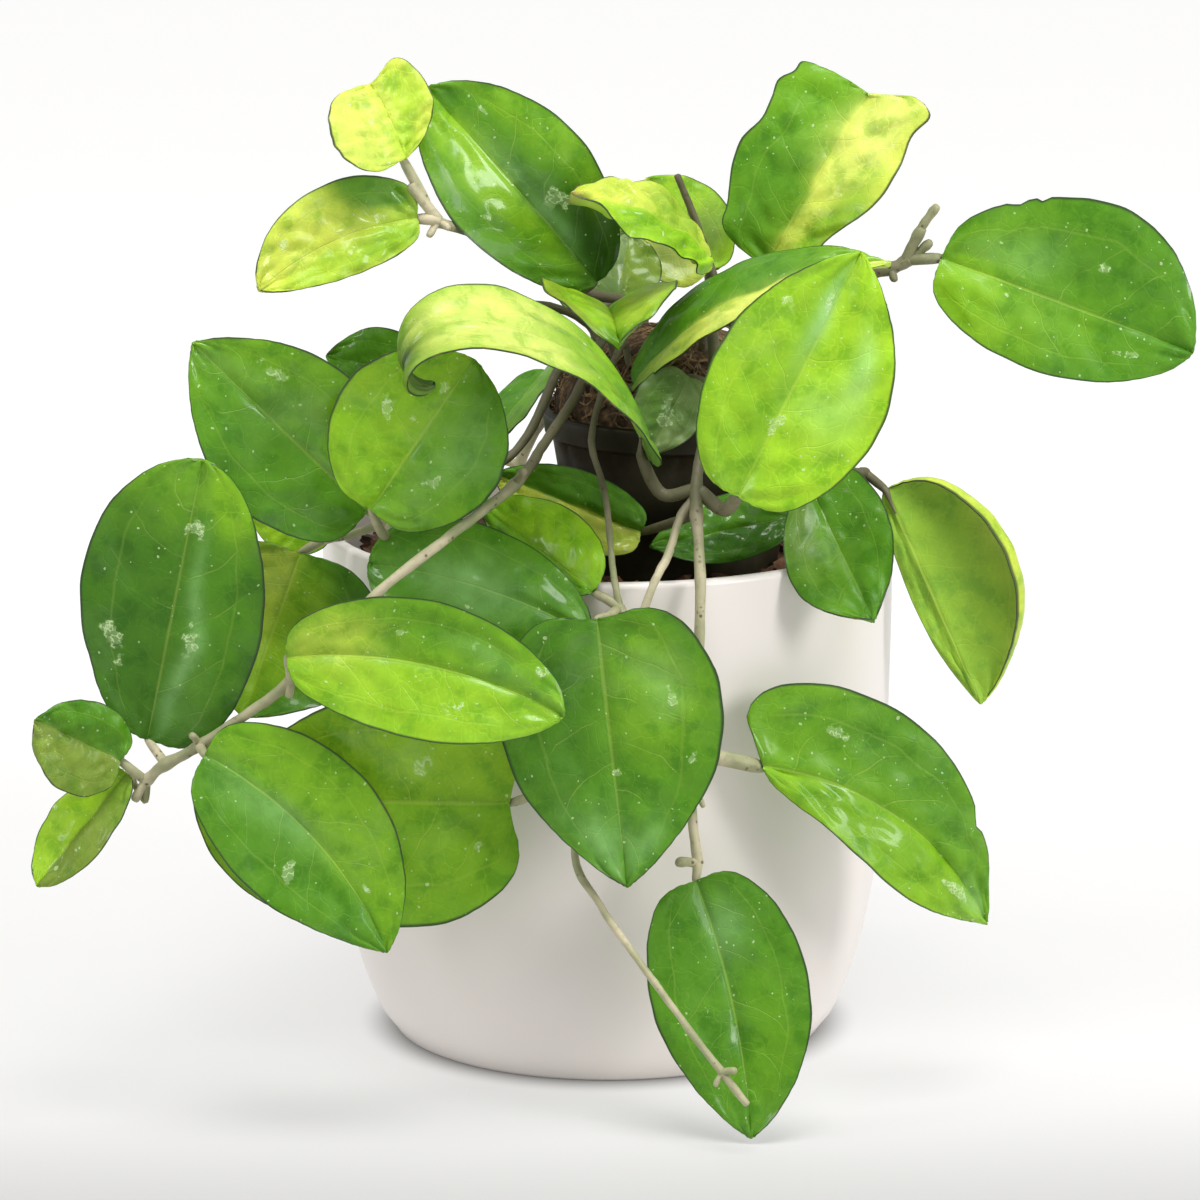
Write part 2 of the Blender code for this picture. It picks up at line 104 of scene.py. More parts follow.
class PotSettings(bpy.types.PropertyGroup):
    """Both pots and what fills them."""

    height: length_setting("Pot height", "Height of the glazed pot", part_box("cachepot")[1].z / MM)
    wall: length_setting("Pot wall", "Thickness of the glazed wall", 4.0)
    nursery_wall: length_setting("Nursery pot wall", "Thickness of the plastic wall", 1.0)
    mulch_top: length_setting("Mulch level", "Height of the bark bed", 133.0)
    chips: IntProperty(name="Bark chips", description="How many chips lie on the bed", default=620, min=0)
    fibres: IntProperty(name="Root fibres", description="Fibres that lie on the dome", default=420, min=0)
    glaze: colour_setting("Glaze", "Satin glaze of the pot", (0.85, 0.79, 0.75))
    bark: colour_setting("Bark", "Darkest colour of the chips", (0.035, 0.018, 0.010))
    bark_light: colour_setting("Light bark", "Lightest colour of the chips", (0.20, 0.095, 0.045))
    bark_red: colour_setting("Red bark", "Fresh, reddish chips", (0.24, 0.075, 0.03))
    plastic: colour_setting("Nursery pot", "Thin plastic of the nursery pot", (0.026, 0.023, 0.012))
    dust: colour_setting("Dust", "Soil dust on the nursery pot", (0.075, 0.065, 0.035))
    coir: colour_setting("Coir", "Darkest colour of the root ball", (0.045, 0.026, 0.012))
    coir_light: colour_setting("Light coir", "Lightest colour of the root fibres", (0.34, 0.21, 0.095))


class LeafSettings(bpy.types.PropertyGroup):
    """Blade size and the colours that the leaves are tinted with."""

    thickness: length_setting("Blade thickness", "Thickness of a leaf blade", 0.9)
    rows: IntProperty(name="Rows", description="Steps along a blade", default=60, min=8)
    columns: IntProperty(name="Columns", description="Steps across a blade", default=36, min=8)
    deep: colour_setting("Deep green", "Leaf in deep shade", (0.012, 0.050, 0.002))
    dark: colour_setting("Dark green", "Old leaf", (0.045, 0.150, 0.006))
    mid: colour_setting("Middle green", "Common leaf", (0.080, 0.240, 0.009))
    fresh: colour_setting("Fresh green", "Lighter leaf", (0.130, 0.320, 0.010))
    lime: colour_setting("Lime", "Young leaf", (0.205, 0.425, 0.012))
    bright: colour_setting("Bright lime", "Young leaf in full light", (0.300, 0.550, 0.018))
    yellow: colour_setting("Yellow", "Pale parts of a young leaf", (0.500, 0.610, 0.070))
    pale: colour_setting("Pale", "Nearly white parts", (0.660, 0.730, 0.170))
    olive: colour_setting("Olive", "Underside and shaded parts", (0.170, 0.270, 0.030))
    grey: colour_setting("Grey green", "Dull, dusty parts", (0.170, 0.260, 0.080))
    brown: colour_setting("Brown", "Dry spots and margins", (0.190, 0.110, 0.040))
    # Painted sheen: a pale colour mixed into the upper face where highlights on the wax are painted.
    painted_sheen: colour_setting("Bloom", "Pale sheen of the wax", (0.340, 0.640, 0.240))
    fleck: colour_setting("Fleck", "Silvery flecks", (0.620, 0.800, 0.420))
    margin: colour_setting("Margin", "Thin dark line round a blade", (0.022, 0.045, 0.016))


class VineSettings(bpy.types.PropertyGroup):
    """Bark of the vines and leaf stalks."""

    sides: IntProperty(name="Sides", description="Sides of a vine's round section", default=14, min=6)
    stem: colour_setting("Stem", "Common colour of the vines", (0.270, 0.290, 0.140))
    stem_pale: colour_setting("Pale stem", "Dry, pale bark", (0.560, 0.500, 0.330))
    stem_green: colour_setting("Green stem", "Young bark", (0.190, 0.270, 0.080))
    # Also darkens the vines and stalks near the root ball. This is partly old, dirty bark and partly
    # painted shade.
    stem_dark: colour_setting("Dark stem", "Old bark by the root ball", (0.085, 0.075, 0.035))
    cork: colour_setting("Cork", "Dots and scars", (0.110, 0.070, 0.035))


class StageSettings(bpy.types.PropertyGroup):
    """Floor, lights and surroundings."""

    floor: colour_setting("Floor", "Pale floor", (0.34, 0.335, 0.33))
    floor_glow: FloatProperty(name="Floor glow", description="Light that the floor gives off", default=1.0)
    sky_strength: FloatProperty(name="Surround", description="Light of the white surround", default=0.44)
    key_power: FloatProperty(name="Key light", description="Power of the overhead panel", default=13.5)
    fill_power: FloatProperty(name="Fill light", description="Power of each side panel", default=4.0)


# ---------------------------------------------------------------- the plant's plan


@dataclass
class Leaf:
    """One leaf. Left and right are seen from its upper face with the tip up."""

    name: str
    joint: tuple  # point on the vine that the stalk grows from
    base: tuple  # where the stalk meets the blade
    tip: tuple
    left: float  # greatest half widths
    right: float
    face: tuple = (0.0, -0.97, 0.22)  # direction the upper face looks
    bend: float = 0.0  # degrees that the midrib turns back over its length
    curl: float = 0.0  # further degrees in the last two fifths
    sweep: float = 0.0  # degrees that the midrib turns sideways, bulging right
    lift: tuple = (8.0, 8.0)  # degrees that each half rises from the midrib
    roll: tuple = (0.0, 0.0)  # further degrees at each margin
    belly: tuple = (0.43, 0.43)  # where each half is widest
    heart: float = 2.0  # how far the base lobes reach back
    point: float = 0.72  # 0.5 gives a round tip, 1 a sharp one
    via: tuple = ()  # points that the stalk passes
    stalk: float = 1.2  # radius of the stalk


@dataclass
class Look:
    """Colours and small shapes of one leaf. Places are (across, along): -1 to 1, and 0 to 1."""

    # The tints also hold painted light and shade. A half, base, tip or patch gets a darker tint where the
    # leaf lies in shade, and a lighter one where light falls on it.
    left: str = "mid"
    right: str = "mid"
    base: tuple = ("mid", 0.0)  # colour and amount
    tip: tuple = ("mid", 0.0)
    patches: tuple = ()  # (across, along, size across, size along, colour, amount)
    painted_sheen: tuple = ()  # painted sheen, pale highlights on the wax: (across, along, size across, size along, amount)
    flecks: tuple = ()  # (across, along, size)
    outline: tuple = ()  # (side, along, size along, share of width added)
    notch: tuple = (0.0, 0.0)  # how far each half runs on past the midrib's end
    pucker: float = 0.25  # height of the swelling between veins
    wave: float = 0.6  # height of the margin's waves
    crease: float = 0.5  # depth of the midrib's groove


@dataclass
class Vine:
    name: str
    route: list
    start_radius: float
    end_radius: float
    stubs: tuple = ()  # (foot, tip, radius) of short side growths
    finish: str = "stem_bark"


def crown_points(angle, reach):
    """Where a vine leaves the root ball: inside its dome, and 5 mm further out along the normal."""
    east = reach * math.cos(math.radians(angle))
    north = reach * math.sin(math.radians(angle))
    up = CROWN_HEIGHT * math.sqrt(1 - (reach / CROWN_RADIUS) ** 2)
    normal = Vector((east / CROWN_RADIUS**2, north / CROWN_RADIUS**2, up / CROWN_HEIGHT**2))
    normal.normalize()
    surface = Vector((NURSERY_X + east, north, NURSERY_RIM_Z + up))
    return [tuple(surface - normal), tuple(surface + normal * 7)]


TINTS = ("deep", "dark", "mid", "fresh", "lime", "bright", "yellow", "pale", "olive", "grey", "brown")

# The node on the front vine that the arching leaf and the bright leaf share.
FRONT_NODE = (23.6, -66, 168)

VINES = [
    Vine(
        "vine_front",
        crown_points(-65, 18)
        + [(29, -34, 198), (26.5, -50, 181), FRONT_NODE, (24.5, -82, 147), (23.8, -86, 114)]
        + [(22.5, -88, 86), (24, -92, 71)],
        1.7,
        1.3,
        stubs=(((24, -92, 71), (18.5, -95, 72), 1.45), ((23, -88, 90), (25.5, -91, 86.5), 0.8)),
    ),
    Vine(
        "vine_bare",
        [(23, -67, 165), (19, -71, 160.5), (16, -80, 153), (10.6, -88, 143), (-1, -90, 107), (-9, -94, 76)]
        + [(-2, -102, 62), (11, -110, 45), (24, -118, 29), (36.7, -124, 13.8)],
        1.2,
        0.95,
        stubs=(((30, -121, 21.5), (33.6, -123, 22.6), 1.1), ((30, -121, 21.5), (28.3, -123, 18.6), 0.8)),
        finish="straw_bark",
    ),
    Vine(
        "vine_thin",
        crown_points(-122, 25) + [(-4.4, -38, 178), (-0.9, -62, 166), (1.3, -82, 149), (3, -86, 140)],
        1.0,
        0.85,
        stubs=(((3, -86, 140), (4.5, -89, 137), 1.5),),
    ),
    Vine(
        "vine_left",
        crown_points(-138, 23)
        + [(-9, -28, 186), (-17, -46, 177), (-25, -64, 169), (-44, -86, 158), (-61, -95, 146)]
        + [(-84, -98, 123), (-96, -97, 113.5), (-109, -92, 103.5), (-119, -88, 97), (-124, -85, 92)],
        1.4,
        1.4,
        stubs=(
            ((-25, -64, 169), (-22.5, -68, 173.5), 1.2),
            ((-84, -98, 123), (-84.5, -100, 119), 1.2),
            ((-109, -92, 103.5), (-111, -94, 107), 1.1),
            ((-124, -85, 92), (-127, -86, 87), 1.4),
        ),
        finish="straw_bark",
    ),
    Vine(
        "vine_inner_left",
        crown_points(-158, 27)
        + [(-22, -32, 176), (-32, -45, 169), (-46, -55, 163), (-58, -58, 158), (-70, -50, 152)]
        + [(-77, -45, 150)],
        1.35,
        1.2,
        stubs=(((-58, -58, 158), (-56, -61, 154), 1.2),),
    ),
    Vine(
        "vine_upper_left",
        crown_points(178, 22) + [(-20, -8, 208), (-43, -22, 206), (-58, -34, 198), (-66, -37, 195)],
        1.2,
        1.0,
        finish="green_bark",
    ),
    Vine(
        "vine_top_left",
        crown_points(150, 13) + [(-6, -1, 210), (-20, -5, 218), (-34, -15, 228), (-46, -35, 235.5)],
        1.6,
        1.35,
        stubs=(((-46, -35, 235.5), (-48.5, -37, 232), 1.1), ((-46, -35, 235.5), (-43, -37, 234), 0.9)),
    ),
    Vine(
        "vine_cut",
        crown_points(-45, 13) + [(29, -13, 216), (25, -15, 230), (19, -18, 245.5)],
        1.2,
        1.0,
        finish="dark_bark",
    ),
    Vine(
        "vine_right",
        crown_points(8, 23) + [(56, -2, 211), (77, -9, 218), (83, -10, 221)],
        1.5,
        1.5,
        stubs=(
            ((82, -10, 220.5), (86.5, -11, 230), 1.7),
            ((86, -11, 229.5), (90.5, -11.5, 236), 1.3),
            ((84, -10, 221), (89, -11, 226), 1.3),
            ((78, -9, 218.5), (79, -12, 215.5), 1.2),
        ),
    ),
    Vine(
        "vine_rim_right",
        crown_points(-32, 29) + [(54, -30, 176), (66, -28, 166), (71, -20, 163)],
        1.4,
        1.2,
        finish="green_bark",
    ),
    Vine(
        "vine_rear_right",
        crown_points(62, 24) + [(42, 44, 184), (46, 68, 166), (50, 84, 142), (52, 90, 108), (50, 90, 84)],
        1.7,
        1.3,
        stubs=(((50, 90, 84), (53, 92, 81), 1.1),),
    ),
    Vine(
        "vine_rear_left",
        crown_points(112, 24)
        + [(0, 42, 185), (-14, 64, 168), (-26, 84, 144), (-34, 90, 112), (-36, 90, 92)],
        1.7,
        1.3,
        stubs=(((-36, 90, 92), (-33, 92, 89), 1.1),),
    ),
]

LEAVES = [
    Leaf(
        "leaf_top_small", (-46, -35, 236), (-54.5, -38, 253.5), (-64, -30, 272.4), 22, 13.5,
        face=(0.4, -0.75, 0.5), bend=20, lift=(10, 26), belly=(0.42, 0.66), point=0.3, heart=3,
        via=((-53.5, -37, 246), (-49.5, -35, 241)), stalk=1.35,
    ),
    Leaf(
        "leaf_small_left", (-46, -35, 236), (-51.7, -37, 237), (-93.6, -52, 220), 11, 15, sweep=35,
        point=0.6, stalk=1.5,
    ),
    Leaf(
        "leaf_upper_left", (-8, -7, 211), (-3, -12, 215), (-49.5, -22, 270), 20.5, 22,
        face=(0.1, -0.9, 0.3), bend=20, lift=(12, 12), belly=(0.55, 0.50), point=0.6,
    ),
    Leaf(
        "leaf_wrinkled", (28, -14, 216), (28, -21, 223), (-10, -45, 244), 10, 12,
        face=(0.2, -0.5, 0.85), bend=50, lift=(-10, 5), point=0.6,
    ),
    Leaf("leaf_behind_pale", (30, 22, 200), (28, 20, 212), (11, 34, 237), 15, 15, bend=20),
    Leaf("leaf_behind_grey", (-2, 8, 204), (3, 12, 206), (6, 20, 224), 12, 11, bend=20),
    Leaf(
        "leaf_top_right", (52, -1, 211), (44, -4, 218), (72, 2, 265), 24, 21, face=(-0.2, -0.9, 0.3),
        bend=30, lift=(10, 16), belly=(0.56, 0.62), point=0.22, via=((46, -6, 212),),
    ),
    Leaf(
        "leaf_folded_front", (-2, -12, 203), (0, -18, 209), (3, -58, 206), 20, 22, face=(0, -0.2, 1),
        bend=20, lift=(28, 28), belly=(0.4, 0.4),
    ),
    Leaf(
        "leaf_strap_right", (1, -31, 187), (7, -30, 190), (76, -44, 226), 14, 13,
        face=(-0.35, -0.4, 0.85), bend=60, lift=(8, 8),
    ),
    Leaf(
        "leaf_bright", (24.6, -66.5, 167.5), (34.5, -80, 169), (67, -74, 233.5), 23, 26,
        belly=(0.45, 0.45), via=((31, -69, 163),), stalk=1.75,
    ),
    Leaf(
        "leaf_far_right", (83, -10, 221), (92, -12, 221.8), (160.7, -20, 197), 30.5, 20.5,
        belly=(0.55, 0.45), point=0.57, heart=4, stalk=1.5,
    ),
    Leaf(
        "leaf_arch", FRONT_NODE, (11.3, -62, 176), (-46, -88, 200), 19, 19, face=(-0.1, -0.42, 0.87),
        bend=95, curl=165, lift=(6, 4), belly=(0.45, 0.45), point=0.8, via=((14.5, -63, 166),),
        stalk=1.6,
    ),
    Leaf(
        "leaf_round_left", (-58, -58, 158), (-63.5, -76, 164.5), (-36, -76, 205), 24.5, 24.5, heart=3,
        belly=(0.5, 0.5), point=0.5, via=((-60, -70, 156),),
    ),
    Leaf(
        "leaf_big_left", (-58, -58, 158), (-65, -62, 161), (-111, -62, 207), 23, 23, belly=(0.42, 0.42),
    ),
    Leaf(
        "leaf_behind_left", (-66, -37, 195), (-52, -28, 192), (-77, -26, 197), 10, 11,
        via=((-60, -33, 190),),
    ),
    Leaf(
        "leaf_leftmost", (-118, -88, 97), (-124, -79, 102), (-108.3, -72, 177), 26, 25,
        belly=(0.58, 0.43), point=0.46, heart=3,
    ),
    Leaf("leaf_pale_left", (-77, -45, 150), (-84, -46, 146), (-99, -62, 104), 30, 23),
    Leaf("leaf_yellow_behind", (-77, -45, 150), (-76, -36, 152), (-99, -34, 157), 11, 14),
    Leaf(
        "leaf_dark_mid", (3, -86, 140), (-5, -91, 134), (-64, -72, 149), 18, 17,
        face=(-0.1, -0.85, 0.5), sweep=22, lift=(-12, 0), belly=(0.45, 0.60), point=0.35,
    ),
    Leaf(
        "leaf_pale_mid", (3, -86, 140), (-4, -83, 144), (-35, -60, 163), 7, 14, face=(-0.1, -0.85, 0.5),
        lift=(10, 0), heart=0,
    ),
    Leaf(
        "leaf_front_left", (-84, -98, 123), (-84.7, -104, 130.7), (-12, -116, 117.7), 17, 20, sweep=-35,
        belly=(0.47, 0.50), point=0.55,
    ),
    Leaf(
        "leaf_heart", (3, -86, 140), (-3, -98, 139.5), (5, -106, 68.7), 31, 29, belly=(0.37, 0.37),
        heart=4, point=0.8, via=((1, -92, 139.5),), stalk=1.0,
    ),
    Leaf(
        "leaf_low_left", (-109, -92, 103.5), (-107, -100, 103), (-58.7, -114, 53), 21, 22, sweep=-40,
        belly=(0.45, 0.45),
    ),
    Leaf("leaf_low_back", (-109, -92, 103.5), (-103, -86, 101), (-78, -84, 54), 16, 17),
    Leaf(
        "leaf_low_mid", (-5, -91, 95), (-26.5, -88, 86.5), (-102, -92, 89), 34, 30, heart=6,
        belly=(0.4, 0.4), point=0.65,
    ),
    Leaf("leaf_end_upper", (-124, -85, 92), (-130.5, -87, 98), (-152, -94, 111), 14, 12, point=0.5),
    Leaf(
        "leaf_end_lower", (-124, -85, 92), (-129.5, -84, 94), (-153, -92, 65), 9, 10,
        face=(-0.4, -0.85, 0.3), via=((-124.5, -84, 86),), belly=(0.5, 0.5), point=0.6, stalk=1.3,
    ),
    Leaf(
        "leaf_right", (23.5, -87, 100), (41.5, -84, 96), (103, -66, 47), 25.5, 17,
        face=(0.1, -0.9, 0.4), sweep=-48, bend=30, heart=8, belly=(0.27, 0.6), point=0.85, stalk=1.9,
    ),
    Leaf("leaf_bottom", (24, -92, 71), (23.5, -97, 67.5), (38, -116, 2), 21.5, 21.5, sweep=-18),
    Leaf("leaf_rim_right", (54, -30, 176), (53, -42, 168), (71, -78, 135), 16, 16, belly=(0.43, 0.62)),
    Leaf(
        "leaf_drop_right", (71, -20, 163), (76.5, -26, 159.5), (103, -34, 101), 6, 34,
        face=(0.1, 0.97, -0.2), lift=(8, 0), roll=(0, -165), belly=(0.5, 0.45),
    ),
    Leaf(
        "leaf_inner_left", (24, -70, 162), (9, -46, 152), (-31, -41, 167), 12, 10,
        via=((17, -58, 157),),
    ),
    Leaf("leaf_inner_mid", (28, -40, 192), (22, -42, 194), (11, -47, 174), 9, 11),
    Leaf("leaf_inner_right", (60, -28, 170), (49, -32, 153), (12, -46, 148), 9, 10),
    Leaf(
        "leaf_rear_high", (42, 44, 184), (51, 46, 186), (80, 62, 196), 17, 17, face=(0.1, 0.9, 0.4),
        bend=20,
    ),
    Leaf(
        "leaf_rear_right", (50, 84, 142), (62, 83, 138), (69, 93, 76), 16, 16, face=(0.2, 0.95, 0.2),
        bend=15,
    ),
    Leaf(
        "leaf_rear_middle", (50, 84, 142), (44, 92, 138), (4, 104, 104), 22, 22, face=(0, 0.97, 0.2),
        bend=20,
    ),
    Leaf(
        "leaf_rear_low", (50, 90, 84), (50, 92, 76), (44, 104, 12), 22, 22, face=(0, 0.97, 0.2),
        bend=15,
    ),
    Leaf(
        "leaf_rear_crown", (0, 42, 185), (3, 46, 193), (-14, 52, 238), 15, 15, face=(-0.1, 0.9, 0.3),
        bend=20,
    ),
    Leaf(
        "leaf_rear_inner", (0, 42, 185), (-18, 34, 182), (-40, -4, 160), 13, 13, face=(-0.6, -0.3, 0.7),
    ),
    Leaf(
        "leaf_rear_left", (-26, 84, 144), (-36, 84, 147), (-85, 66, 126), 22, 22, face=(-0.3, 0.9, 0.2),
        bend=20,
    ),
    Leaf(
        "leaf_rear_bottom", (-36, 90, 92), (-37, 92, 84), (-42, 102, 26), 21, 21, face=(0, 0.97, 0.2),
        bend=15,
    ),
]

